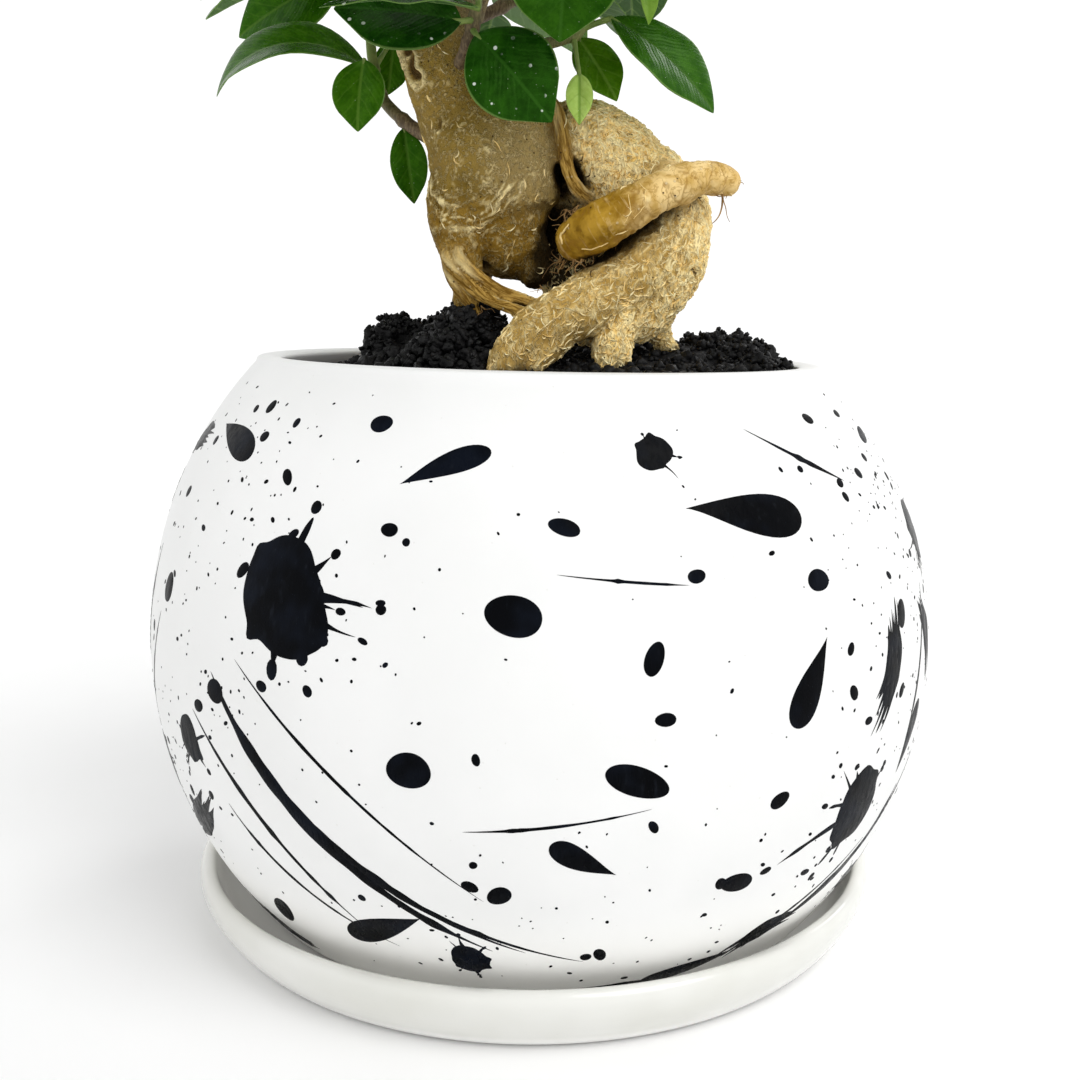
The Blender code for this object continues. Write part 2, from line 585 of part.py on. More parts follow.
def trunk_distance(points, limbs):
    """Distance from the nearest of some points to the skin of the limbs."""
    start, run, radius_near, radius_far = limbs
    offset = points[:, None, :] - start[None]
    share = np.clip((offset * run).sum(-1) / (run * run).sum(-1), 0, 1)
    away = np.linalg.norm(offset - share[..., None] * run, axis=-1)
    return float((away - (radius_near + (radius_far - radius_near) * share)).min())


def twig_path(shoot):
    return [Vector(point) * MM for point in shoot.route]


def point_along(path, distance):
    """The point and the direction at a distance along a path, or None past its end."""
    for here, there in zip(path, path[1:]):
        step = (there - here).length
        if distance <= step:
            return here + (there - here) * (distance / step), (there - here).normalized()
        distance -= step
    return None


def draw_leaf(rng):
    """How one leaf differs from the next."""
    return {
        "size": rng.uniform(0.86, 1.12),
        "broad": rng.uniform(0.92, 1.1),
        "stalk": rng.uniform(0.8, 1.2),
        "slope": rng.uniform(-14, 14),
        "lean": [rng.uniform(-0.22, 0.22) for axis in range(3)],
        "bend": rng.uniform(18, 55),
        "fold": rng.uniform(8, 24),
        "twist": rng.uniform(-14, 14),
    }


def hang_leaf(shoot, root, ahead, azimuth, tilt, size, draw):
    """One leaf off a twig: its stalk leaves at the azimuth, and the blade spreads out of the crown."""
    across = ahead.orthogonal().normalized()
    out = Quaternion(ahead, azimuth) @ across
    from_middle = root - CROWN_CENTRE
    level = Vector((from_middle.x, from_middle.y, 0)).normalized()
    heading = level * 0.7 + Vector((out.x, out.y, 0)) * 0.9
    heading = heading.normalized() if heading.length > 0.05 else level
    height_share = min(1.0, max(0.0, (root.z - CROWN_LOW_Z) / (CROWN_HIGH_Z - CROWN_LOW_Z)))
    slope = SLOPE_LOW + (SLOPE_HIGH - SLOPE_LOW) * height_share + draw["slope"] + tilt
    slope = math.radians(slope)
    spread = heading * math.cos(slope) + Vector((0, 0, math.sin(slope)))
    stalk = (out * 0.75 + ahead * 0.45 + spread * 0.5).normalized()
    length = LEAF_LENGTH * draw["size"] * size
    base = root + stalk * STALK_LENGTH * draw["stalk"]
    tip = base + spread * length
    up = Vector((0, 0, 0.85)) + level * 0.3 + Vector(draw["lean"])
    width = length * LEAF_RATIO * draw["broad"]
    form = (draw["bend"], draw["fold"], draw["twist"])
    return Leaf(shoot.name, root / MM, base / MM, tip / MM, up, width / MM, *form)


class Crown:
    """The leaves placed so far, with what a new leaf has to stay clear of."""

    def __init__(self):
        self.leaves = []
        self.limbs = crown_limbs()
        self.paths = {shoot.name: twig_path(shoot) for shoot in SHOOTS}
        self.twigs = {
            shoot.name: rod_tree(twig_path(shoot), shoot.thick * MM + TWIG_CLEARANCE) for shoot in SHOOTS
        }
        self.blades = []
        self.stalks = []

    def fits(self, leaf):
        points = blade(leaf, LEAF_STATIONS, (-1, 0, 1)).reshape(-1, 3)
        if np.abs(points[:, :2]).max() > CROWN_REACH or points[:, 2].max() > CROWN_TOP_Z:
            return False
        if trunk_distance(points, self.limbs) < TRUNK_CLEARANCE:
            return False
        root, base = Vector(leaf.root) * MM, Vector(leaf.base) * MM
        stalk_points = np.array([root.lerp(base, share) for share in (0.5, 0.75, 1)])
        if trunk_distance(stalk_points, self.limbs) < TRUNK_CLEARANCE:
            return False
        slab = slab_tree(leaf)
        stalk = rod_tree([root.lerp(base, 0.3), base], STALK_RADIUS + LEAF_CLEARANCE)
        for name, tree in self.twigs.items():
            if slab.overlap(tree) or (name != leaf.shoot and stalk.overlap(tree)):
                return False
        return not any(slab.overlap(tree) or stalk.overlap(tree) for tree in self.blades + self.stalks)

    def add(self, leaf):
        root, base = Vector(leaf.root) * MM, Vector(leaf.base) * MM
        self.leaves.append(leaf)
        self.blades.append(slab_tree(leaf))
        self.stalks.append(rod_tree([root.lerp(base, 0.3), base], STALK_RADIUS + LEAF_CLEARANCE))

    def grow(self, shoot):
        """A leaf at each node up the twig, a set turn on from the last, bent clear of what is there."""
        rng = random.Random(shoot.seed)
        path = self.paths[shoot.name]
        distance = shoot.first_leaf * MM
        azimuth = rng.uniform(0, math.tau)
        length = sum((b - a).length for a, b in zip(path, path[1:]))
        while distance < length:
            root, ahead = point_along(path, distance)
            self.place(shoot, root, ahead, azimuth, draw_leaf(rng))
            distance += LEAF_SPACING * rng.uniform(0.85, 1.15)
            azimuth += LEAF_TURN

    def place(self, shoot, root, ahead, azimuth, draw):
        """The first try that fits is added, and a leaf that fits nowhere is left out."""
        for size, turn, tilt in product(SIZE_TRIES, TURN_TRIES, SLOPE_TRIES):
            leaf = hang_leaf(shoot, root, ahead, azimuth + math.radians(turn), tilt, size, draw)
            if self.fits(leaf):
                self.add(leaf)
                return


def grow_crown():
    crown = Crown()
    for leaf in PLACED_LEAVES:
        crown.add(leaf)
    for shoot in SHOOTS:
        crown.grow(shoot)
    return crown


def twig_object(shoot, path, collection, material):
    """A twig as a tapered tube, made a mesh so that its leaves can be joined to it."""
    curve = bpy.data.curves.new(shoot.name, "CURVE")
    curve.dimensions = "3D"
    curve.bevel_depth = MM
    curve.bevel_resolution = TWIG_SIDES
    curve.use_fill_caps = True
    spline = curve.splines.new("POLY")
    spline.points.add(len(path) - 1)
    for number, point in enumerate(path):
        spline.points[number].co = (*point, 1)
        spline.points[number].radius = shoot.thick + (shoot.thin - shoot.thick) * number / (len(path) - 1)
    tube = bpy.data.objects.new(shoot.name + "_tube", curve)
    collection.objects.link(tube)
    bm = bmesh.new()
    bm.from_mesh(evaluated_mesh(tube))
    bmesh.ops.remove_doubles(bm, verts=bm.verts, dist=MERGE)
    bpy.data.objects.remove(tube)
    return mesh_object(shoot.name, bm, collection, material)


def blade_object(leaf, collection):
    """A leaf's blade: a grid bent to the leaf's form and given its thickness."""
    pieces = len(LEAF_STATIONS) - 1
    bm = bmesh.new()
    bmesh.ops.create_grid(bm, x_segments=pieces, y_segments=2, size=1)
    for vertex in bm.verts:
        station = LEAF_STATIONS[round((vertex.co.x + 1) / 2 * pieces)]
        vertex.co = blade(leaf, [station], [vertex.co.y])[0, 0]
    bmesh.ops.remove_doubles(bm, verts=bm.verts, dist=MERGE)
    bmesh.ops.triangulate(bm, faces=bm.faces)
    obj = mesh_object("blade", bm, collection)
    thick = obj.modifiers.new("thickness", "SOLIDIFY")
    thick.thickness = LEAF_THICKNESS
    thick.offset = 0
    return obj


def stalk_object(leaf, collection):
    """A leaf's stalk, from the twig's middle into the blade."""
    root = Vector(leaf.root) * MM
    end = Vector(blade(leaf, [STALK_INTO_BLADE], [0])[0, 0])
    base = Vector(leaf.base) * MM
    path = [root, base, end]
    last = len(path) - 1
    bm = bmesh.new()
    rings = []
    for number, point in enumerate(path):
        ahead = path[min(number + 1, last)] - path[max(number - 1, 0)]
        turn = ahead.to_track_quat("Z", "Y").to_matrix().to_4x4()
        place = Matrix.Translation(point) @ turn
        ring = bmesh.ops.create_circle(bm, segments=STALK_SIDES, radius=STALK_RADIUS, matrix=place)
        rings.append(ring["verts"])
    for near, far in zip(rings, rings[1:]):
        for corner in range(STALK_SIDES):
            after = (corner + 1) % STALK_SIDES
            bm.faces.new((near[corner], near[after], far[after], far[corner]))
    bm.faces.new(rings[0][::-1])
    bm.faces.new(rings[-1])
    bmesh.ops.recalc_face_normals(bm, faces=bm.faces)
    return mesh_object("stalk", bm, collection)


def build_shoot(shoot, crown, collection, material):
    """One leafy stem: its twig, stalks and blades joined in one solid."""
    stem = twig_object(shoot, crown.paths[shoot.name], collection, material)
    repeats = new_collection("repeats")
    for leaf in crown.leaves:
        if leaf.shoot == shoot.name:
            blade_object(leaf, repeats)
            stalk_object(leaf, repeats)
    join = stem.modifiers.new("join_leaves", "BOOLEAN")
    join.solver = "MANIFOLD"
    join.operation = "UNION"
    join.operand_type = "COLLECTION"
    join.collection = repeats
    apply_modifiers(stem)
    for obj in list(repeats.objects):
        bpy.data.objects.remove(obj)
    bpy.data.collections.remove(repeats)
    keep_main_body(stem)
    shade(stem, 40)


def main():
    clear_scene()
    model = new_collection("potted_ginseng_ficus")
    helpers = new_collection("helpers", helper=True)
    build_saucer(model)
    build_pot(model)
    trunk = build_trunk(model, helpers)
    build_soil(model, root_hole_cutter(trunk, helpers))
    drill_sockets(trunk, helpers)
    leaf_green = principled("leaf_green", (0.03, 0.12, 0.015), 0.35)
    crown = grow_crown()
    for shoot in SHOOTS:
        build_shoot(shoot, crown, model, leaf_green)


main()
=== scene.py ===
# %% [markdown]
# # A potted ginseng ficus
# A ginseng ficus is sold for its roots: they swell under ground, then the plant is lifted so that they
# show, and leafy stems are grafted on top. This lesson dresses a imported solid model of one. Each solid
# is coarse, so it is hidden, and a finer mesh of the same form stands in its place.

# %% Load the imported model
import math
import random
from collections import namedtuple
from itertools import product

import bmesh
import bpy
import numpy as np
from mathutils import Matrix, Quaternion, Vector, geometry, kdtree, noise
from mathutils.bvhtree import BVHTree


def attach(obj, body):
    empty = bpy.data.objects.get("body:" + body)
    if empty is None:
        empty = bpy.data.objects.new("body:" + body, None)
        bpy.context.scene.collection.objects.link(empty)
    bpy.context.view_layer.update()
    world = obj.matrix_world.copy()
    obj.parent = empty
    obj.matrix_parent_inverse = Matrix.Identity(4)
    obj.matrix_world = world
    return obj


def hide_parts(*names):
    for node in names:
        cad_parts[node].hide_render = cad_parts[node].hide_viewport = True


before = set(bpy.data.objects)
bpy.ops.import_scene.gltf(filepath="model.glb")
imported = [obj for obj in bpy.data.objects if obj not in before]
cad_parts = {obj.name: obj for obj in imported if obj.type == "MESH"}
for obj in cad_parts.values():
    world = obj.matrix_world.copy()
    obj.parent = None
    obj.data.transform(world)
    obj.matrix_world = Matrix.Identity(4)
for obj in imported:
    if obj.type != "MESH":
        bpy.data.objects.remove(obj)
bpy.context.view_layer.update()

MM = 0.001
print("solids to dress:", sorted(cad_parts))

# %% [markdown]
# ## Camera
# The picture was taken from just above the rim, close up, so the rim reads as a thin ellipse and the
# crown is cut off. A level camera with a shift would do too, but a small pitch keeps the lens plain.

# %% Place the camera
CAMERA_PLACE = (0, -0.307, 0.1415)
CAMERA_PITCH = 10.24  # degrees below level
CAMERA_LENS = 43.63

scene = bpy.context.scene
camera_data = bpy.data.cameras.new("camera")
camera_data.lens = CAMERA_LENS
camera_data.sensor_width = 36
camera_data.clip_start = 0.01
camera = bpy.data.objects.new("camera", camera_data)
camera.location = CAMERA_PLACE
camera.rotation_euler = (math.radians(90 - CAMERA_PITCH), 0, 0)
scene.collection.objects.link(camera)
scene.camera = camera
print("camera at", CAMERA_PLACE, "lens", CAMERA_LENS)

# %% [markdown]
# ## Shader maths
# A material is a graph, but most of it is arithmetic on masks. Wrapping a socket in a small class lets
# that arithmetic be written as plain Python, with each operator adding its Math node. Colours go through
# Mix nodes, and any other node comes from one method, which takes its settings before its sockets.


# %% A socket that takes part in sums
class Wire:
    """A socket of a look, with operators that add Math nodes."""

    def __init__(self, look, socket):
        self.look = look
        self.socket = socket

    def math(self, operation, one, two=0.0):
        return self.look.node("ShaderNodeMath", {"operation": operation}, {0: one, 1: two})

    def __add__(self, other):
        return self.math("ADD", self, other)

    def __sub__(self, other):
        return self.math("SUBTRACT", self, other)

    def __rsub__(self, other):
        return self.math("SUBTRACT", other, self)

    def __mul__(self, other):
        return self.math("MULTIPLY", self, other)

    def __abs__(self):
        return self.math("ABSOLUTE", self)

    __radd__ = __add__
    __rmul__ = __mul__

    def high(self, other):
        return self.math("MAXIMUM", self, other)

    def wrap(self):
        return self.math("FRACT", self)

    def step(self, start, end):
        """Rises smoothly from 0 at start to 1 at end, or falls where end is the lower."""
        inputs = {"Value": self, "From Min": start, "From Max": end}
        return self.look.node("ShaderNodeMapRange", {"interpolation_type": "SMOOTHSTEP"}, inputs)


# %% One material and its nodes
class Look:
    """A material: its graph, its shader, and short ways to the textures that it uses."""

    def __init__(self, name, roughness, **constants):
        self.material = bpy.data.materials.new(name)
        self.material.use_nodes = True
        self.tree = self.material.node_tree
        self.shader = self.tree.nodes["Principled BSDF"]
        self.shader.inputs["Roughness"].default_value = roughness
        for socket, value in constants.items():
            self.shader.inputs[socket.replace("_", " ")].default_value = value
        self.place = self.node("ShaderNodeTexCoord", output="Object")

    def node(self, kind, settings=None, inputs=None, output=0):
        node = self.tree.nodes.new(kind)
        for key, value in (settings or {}).items():
            setattr(node, key, value)
        for key, value in (inputs or {}).items():
            self.plug(node.inputs[key], value)
        return Wire(self, node.outputs[output])

    def plug(self, socket, value):
        if isinstance(value, Wire):
            self.tree.links.new(value.socket, socket)
        elif socket.type == "RGBA":
            socket.default_value = (*value, 1.0)
        else:
            socket.default_value = value

    def noise(self, size, detail=3.0, rough=0.55, warp=0.0, place=None):
        """Cloudy noise whose features are about size millimetres across."""
        inputs = {"Vector": place or self.place, "Scale": 1 / (size * MM), "Detail": detail}
        inputs.update({"Roughness": rough, "Distortion": warp})
        return self.node("ShaderNodeTexNoise", None, inputs)

    def cells(self, size, place=None):
        """Distance from the nearest of many scattered spots, in shares of their usual gap."""
        inputs = {"Vector": place or self.place, "Scale": 1 / (size * MM)}
        return self.node("ShaderNodeTexVoronoi", None, inputs, "Distance")

    def stretched(self, scale, place=None):
        """Coordinates with each axis scaled, so that a texture runs out along the small ones."""
        inputs = {0: place or self.place, 1: scale}
        return self.node("ShaderNodeVectorMath", {"operation": "MULTIPLY"}, inputs)

    def away_from(self, centre, place=None):
        """Distance in metres from a fixed point."""
        ends = {0: place or self.place, 1: centre}
        return self.node("ShaderNodeVectorMath", {"operation": "DISTANCE"}, ends, "Value")

    def axis(self, letter):
        """How far along X, Y or Z the surface lies, in metres."""
        return self.node("ShaderNodeSeparateXYZ", None, {0: self.place}, letter)

    def values(self, *names):
        """Numbers that the mesh carries at each point."""
        return [self.node("ShaderNodeAttribute", {"attribute_name": name}, output="Fac") for name in names]

    def arrow(self, name):
        """Three numbers that the mesh carries at each point."""
        return self.node("ShaderNodeAttribute", {"attribute_name": name}, output="Vector")

    def mix(self, mask, one, two):
        node = self.tree.nodes.new("ShaderNodeMix")
        node.data_type = "RGBA"
        for number, value in {0: mask, 6: one, 7: two}.items():
            self.plug(node.inputs[number], value)
        return Wire(self, node.outputs[2])

    def coats(self, colour, *coats):
        """A colour with others laid over it in turn, each through its mask."""
        for mask, tone in coats:
            colour = self.mix(mask, colour, tone)
        return colour

    def colour(self, wire):
        self.plug(self.shader.inputs["Base Color"], wire)

    def roughness(self, wire):
        self.plug(self.shader.inputs["Roughness"], wire)

    def relief(self, height):
        """Bump whose height is in millimetres."""
        bump = self.node("ShaderNodeBump", None, {"Height": height, "Strength": 1.0, "Distance": MM})
        self.plug(self.shader.inputs["Normal"], bump)


# %% [markdown]
# ## Finishes of the pot
# The pot and saucer are glazed white clay. Glaze is smooth but never flat: it pools a little, holds fine
# pits, and thins on the lip. A plain white would read as plastic, so small changes of colour, gloss and
# height are mixed in, each weak enough to be felt more than seen.


# %% Glaze, satin clay and ink
SAUCER_MIDDLE = (-1.4 * MM, -1.8 * MM, 0)
SAUCER_MOUTH = 75.5 * MM  # inside this radius the glaze is painted paler: painted light against the shade round the pot's foot
POT_FOOT_PAINTED_LIGHT = (0.034, 0.014)  # heights between which the clay is painted paler towards the foot: painted light against the shade over the saucer


def glaze_look():
    look = Look("white_glaze_fine", 0.16, Coat_Weight=0.35, Coat_Roughness=0.06)
    pools = look.noise(22, detail=2)
    pits = look.cells(2.6).step(0.10, 0.02)
    reach = look.away_from(SAUCER_MIDDLE, look.stretched((1, 1, 0)))
    inside = reach.step(SAUCER_MOUTH + MM, SAUCER_MOUTH - MM)
    white = look.mix(pools.step(0.35, 0.7), (0.69, 0.69, 0.645), (0.74, 0.74, 0.705))
    # Painted light: the saucer's inside is painted paler, to lift the shade that the pot casts there
    look.colour(look.mix(inside, white, (0.95, 0.945, 0.92)))
    look.roughness(0.13 + 0.10 * look.noise(9))
    look.relief(0.10 * look.noise(14, detail=1) + 0.012 * look.noise(1.4) - 0.02 * pits)
    return look.material


def clay_look():
    look = Look("white_satin_clay", 0.36, Specular_IOR_Level=0.4)
    clouds = look.noise(30, detail=2)
    grain = look.noise(0.8, detail=2)
    pits = look.cells(3.4).step(0.07, 0.02)
    fresh = look.mix(clouds.step(0.3, 0.75), (0.80, 0.803, 0.795), (0.838, 0.84, 0.834))
    # Painted light: the clay is painted paler towards the foot, to lift the shade over the saucer
    foot = look.axis("Z").step(*POT_FOOT_PAINTED_LIGHT)
    look.colour(look.coats(fresh, (foot, (0.93, 0.925, 0.895)), (pits * 0.35, (0.62, 0.60, 0.56))))
    look.roughness(0.30 + 0.14 * look.noise(12) + 0.05 * grain)
    look.relief(0.09 * look.noise(17, detail=1) + 0.010 * grain - 0.03 * pits)
    return look.material


def ink_look():
    look = Look("black_ink", 0.3, Specular_IOR_Level=0.04)
    brushed = look.noise(1.2, detail=4, place=look.stretched((1, 1, 0.22)))
    thin = look.noise(9, detail=2)
    dark = look.mix(thin.step(0.42, 0.72), (0.0006, 0.0009, 0.0017), (0.0035, 0.0052, 0.0098))
    look.colour(look.mix(brushed.step(0.55, 0.85) * 0.5, dark, (0.014, 0.017, 0.024)))
    look.roughness(0.20 + 0.30 * brushed.step(0.3, 0.8))
    look.relief(0.03 * brushed + 0.02 * look.noise(0.6))
    return look.material


glaze = glaze_look()
clay = clay_look()
ink = ink_look()
print("finishes:", glaze.name, clay.name, ink.name)

# %% [markdown]
# ## Meshes from arrays
# Most pieces here are thousands of small parts. Each part is a block of points and faces, so a heap
# gathers the blocks and one call turns them into a mesh. The heap also carries numbers at each point,
# such as how far along a leaf it lies, which the materials read back.


# %% A heap of parts
class Heap:
    """Points, faces and point values of many parts, gathered for one mesh."""

    def __init__(self):
        self.points = []
        self.faces = []
        self.slots = []
        self.values = {}
        self.count = 0

    def add(self, points, faces, slot=0, **values):
        points = np.asarray(points, float).reshape(-1, 3)
        for group in faces:
            group = np.asarray(group, int)
            self.faces.append(group + self.count)
            self.slots.append(np.full(len(group), slot))
        for name, value in values.items():
            value = np.asarray(value, float)
            self.values.setdefault(name, []).append(np.broadcast_to(value, (len(points),)))
        self.points.append(points)
        self.count += len(points)


def ring_faces(rings, corners, closed=False):
    """Four-cornered faces between rings of points that follow one another."""
    faces = []
    for ring in range(rings if closed else rings - 1):
        near = ring * corners + np.arange(corners)
        far = (ring + 1) % rings * corners + np.arange(corners)
        faces.append(np.stack([near, np.roll(near, -1), np.roll(far, -1), far], 1))
    return faces


# %% From a heap to a piece of the model
def piece(name, heap, *materials, sharp=40, weld=False):
    """A mesh object from a heap, with its faces turned outwards and soft shading."""
    points = np.concatenate(heap.points)
    corners = np.concatenate([group.ravel() for group in heap.faces])
    sizes = np.concatenate([np.full(len(group), group.shape[1]) for group in heap.faces])
    mesh = bpy.data.meshes.new(name)
    mesh.vertices.add(len(points))
    mesh.vertices.foreach_set("co", points.ravel())
    mesh.loops.add(len(corners))
    mesh.loops.foreach_set("vertex_index", corners)
    mesh.polygons.add(len(sizes))
    mesh.polygons.foreach_set("loop_start", np.concatenate(([0], np.cumsum(sizes)[:-1])))
    mesh.polygons.foreach_set("material_index", np.concatenate(heap.slots))
    mesh.update(calc_edges=True)
    for key, blocks in heap.values.items():
        mesh.attributes.new(key, "FLOAT", "POINT").data.foreach_set("value", np.concatenate(blocks))
    bm = bmesh.new()
    bm.from_mesh(mesh)
    if weld:
        bmesh.ops.remove_doubles(bm, verts=bm.verts, dist=1e-7)
    bmesh.ops.recalc_face_normals(bm, faces=bm.faces)
    bm.to_mesh(mesh)
    bm.free()
    for material in materials:
        mesh.materials.append(material)
    mesh.shade_smooth()
    mesh.set_sharp_from_angle(angle=math.radians(sharp))
    obj = bpy.data.objects.new(name, mesh)
    scene.collection.objects.link(obj)
    return obj


def settle(obj, slot, *nodes):
    """Puts a piece on the model's one body, in the place of the solids it is named for."""
    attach(obj, "root")
    if nodes:
        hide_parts(*nodes)
    faces = obj.data.polygons
    sizes = np.empty(len(faces), int)
    faces.foreach_get("loop_total", sizes)
    print(f"{obj.name}: {int((sizes - 2).sum())} triangles")
    return obj


# %% [markdown]
# ## Saucer and pot
# Both were thrown on a wheel, so a profile turned about the upright axis gives them. The solid model has
# few corners; here each corner is rounded and the turn has many steps, so that the lip catches a smooth
# line of light. The pot's rim was trimmed by hand and runs a little downhill.

# %% Sizes of the pot and saucer
POT_RADIUS = 90 * MM
POT_CENTRE_Z = 65 * MM
POT_WALL = 4 * MM
RIM_Z = 129 * MM
LIP_ROUND = 1.4 * MM
RIM_SLOPE = 0.021
POT_FLOOR = 6 * MM
DRAIN_RADIUS = 7 * MM
FOOT_RING = 5 * MM
FOOT_RECESS = 1.5 * MM
GAP = 0.3 * MM
SAUCER_OFFSET = SAUCER_MIDDLE[:2]
POT_FOOT_Z = 4 * MM + GAP
TURN = 192  # steps round a turned piece

# Saucer profile: radius, height and how far its corner is rounded, in millimetres
SAUCER_PROFILE = (
    (0, 4, 0), (69.4, 4, 5), (73.6, 6.4, 3), (75.7, 11.4, 3), (76.7, 14.1, 1.2), (78.9, 14.2, 1.4),
    (80.1, 12.2, 1.8), (79.4, 8.2, 3), (76.6, 3.6, 3), (73, 0, 1), (68, 0, 1), (67, 1, 0.6), (0, 1, 0),
)


# %% Rounded profiles and the wheel
def rounded(corners, closed=False, pieces=6):
    """Profile points from corners, each rounded off over its own reach."""
    outline = []
    last = len(corners) - 1
    for number, (r, z, reach) in enumerate(corners):
        here = np.array((r, z), float)
        if reach == 0 or (not closed and number in (0, last)):
            outline.append(here)
            continue
        before = np.array(corners[number - 1][:2], float) - here
        after = np.array(corners[(number + 1) % len(corners)][:2], float) - here
        start = here + before * min(0.48, reach / np.linalg.norm(before))
        end = here + after * min(0.48, reach / np.linalg.norm(after))
        for share in np.linspace(0, 1, pieces + 1):
            outline.append((1 - share) ** 2 * start + 2 * share * (1 - share) * here + share**2 * end)
    return np.array(outline)


def turned(profile, closed=False):
    """Rings of points about the upright axis, as one block for a heap."""
    angles = math.tau * np.arange(TURN) / TURN
    ring = np.stack([np.cos(angles), np.sin(angles)], 1)
    points = [np.column_stack([ring * r, np.full(TURN, z)]) for r, z in profile]
    return np.concatenate(points), ring_faces(len(profile), TURN, closed)


def arc(radius, centre_z, z_from, z_to, pieces):
    """Points (r, z) down a circle centred on the axis."""
    first = math.acos((z_from - centre_z) / radius)
    last = math.acos((z_to - centre_z) / radius)
    angles = np.linspace(first, last, pieces + 1)
    return [(radius * math.sin(a), centre_z + radius * math.cos(a)) for a in angles]


def trim_shift(point):
    """How far the hand-trimmed rim moves a point of the pot or the soil up or down."""
    height_share = max(0.0, point[2] - POT_CENTRE_Z) / (RIM_Z - POT_CENTRE_Z)
    return -RIM_SLOPE * point[0] * height_share


# %% Turn the saucer
heap = Heap()
points, faces = turned(rounded(SAUCER_PROFILE) * MM)
points[:, :2] += SAUCER_OFFSET
heap.add(points, faces)
settle(piece("saucer_fine", heap, glaze, sharp=60, weld=True), "white_glaze", "saucer")

# %% Turn the pot
INNER_FLOOR_Z = POT_FOOT_Z + POT_FLOOR


def pot_profile():
    """Down the outside from the lip, across the foot, and back up the inside."""
    outer = arc(POT_RADIUS, POT_CENTRE_Z, RIM_Z - LIP_ROUND, POT_FOOT_Z + 1.5 * MM, 62)
    inner = arc(POT_RADIUS - POT_WALL, POT_CENTRE_Z, RIM_Z - LIP_ROUND, INNER_FLOOR_Z + 4 * MM, 34)
    foot_radius = outer[-1][0] - 1.5 * MM
    recess_z = POT_FOOT_Z + FOOT_RECESS
    foot = [
        (foot_radius, POT_FOOT_Z, MM),
        (foot_radius - FOOT_RING, POT_FOOT_Z, MM),
        (foot_radius - FOOT_RING - FOOT_RECESS, recess_z, MM),
        (DRAIN_RADIUS, recess_z, 0.6 * MM),
        (DRAIN_RADIUS, INNER_FLOOR_Z, 0.6 * MM),
        (inner[-1][0] - 4 * MM, INNER_FLOOR_Z, 3 * MM),
    ]
    lip = [
        (inner[0][0] + 0.1 * MM, RIM_Z - 0.35 * MM, 1.1 * MM),
        ((inner[0][0] + outer[0][0]) / 2, RIM_Z + 0.15 * MM, 2 * MM),
        (outer[0][0] - 0.5 * MM, RIM_Z - 0.1 * MM, 1.2 * MM),
    ]
    plain = [(r, z, 0) for r, z in outer] + foot + [(r, z, 0) for r, z in inner[::-1]] + lip
    return rounded(plain, closed=True, pieces=5)


heap = Heap()
points, faces = turned(pot_profile(), closed=True)
points[:, 2] += [trim_shift(point) for point in points]
heap.add(points, faces)
settle(piece("pot_fine", heap, clay, sharp=60), "white_ceramic", "pot")

# %% [markdown]
# ## Ink on the pot
# The pot is decorated with black ink that was dripped, flicked and brushed on. Paint could be a mask in
# the material, but real ink has a thin edge that catches light, so each splash is a very thin slab that
# follows the ball. The layout is this lesson's own: round drops, comet-shaped drops, blots with rays,
# long flicked lines and dry brush marks, drawn by formula with seeded chance.

# %% Lay a flat outline on the ball
INK_HEIGHT = 0.11 * MM
INK_ROOT = 0.25 * MM  # how deep the slab's hidden side lies in the wall
RIM_ANGLE = math.radians(43.4)  # of the pot's shoulder, where the lip begins


def on_ball(flat, spot, lift):
    """Flat points in millimetres on the ball, lifted off it: a spot is azimuth, elevation and turn."""
    a, e, t = (math.radians(angle) for angle in spot)
    out = np.array((math.cos(e) * math.sin(a), -math.cos(e) * math.cos(a), math.sin(e)))
    right = np.array((math.cos(a), math.sin(a), 0))
    up = np.cross(right, -out)
    up = up if up[2] > 0 else -up
    x = flat[:, 0] * math.cos(t) - flat[:, 1] * math.sin(t)
    y = flat[:, 0] * math.sin(t) + flat[:, 1] * math.cos(t)
    reach = np.hypot(x, y) + 1e-9
    bow = (reach * MM / POT_RADIUS)[:, None]
    heading = (x[:, None] * right + y[:, None] * up) / reach[:, None]
    way = np.cos(bow) * out + np.sin(bow) * heading
    high = np.minimum(way[:, 2], math.sin(RIM_ANGLE))
    level = np.sqrt(1 - high**2) / np.hypot(way[:, 0], way[:, 1])
    way = np.column_stack([way[:, 0] * level, way[:, 1] * level, high])
    points = way * (POT_RADIUS + np.reshape(lift, (-1, 1)))
    points[:, 2] += POT_CENTRE_Z
    points[:, 2] += [trim_shift(point) for point in points]
    return points


def inner_points(outline, pitch, clear):
    """A grid of points inside an outline, clear of its edge, to carry the slab's full height."""
    low, high = outline.min(0), outline.max(0)
    xs = np.arange(low[0] + pitch / 2, high[0], pitch)
    ys = np.arange(low[1] + pitch / 2, high[1], pitch)
    if len(xs) == 0 or len(ys) == 0:
        return np.empty((0, 2))
    grid = np.array([(x, y) for x in xs for y in ys])
    start, end = outline, np.roll(outline, -1, 0)
    run = end - start
    offset = grid[:, None] - start[None]
    share = np.clip((offset * run).sum(-1) / np.maximum((run * run).sum(-1), 1e-12), 0, 1)
    edge = np.linalg.norm(offset - share[..., None] * run, axis=-1).min(1)
    above = (start[None, :, 1] > grid[:, None, 1]) != (end[None, :, 1] > grid[:, None, 1])
    rise = np.where(run[:, 1] == 0, 1e-12, run[:, 1])
    cross_x = start[None, :, 0] + (grid[:, None, 1] - start[None, :, 1]) / rise * run[None, :, 0]
    inside = (above & (grid[:, None, 0] < cross_x)).sum(1) % 2 == 1
    return grid[inside & (edge > clear)]


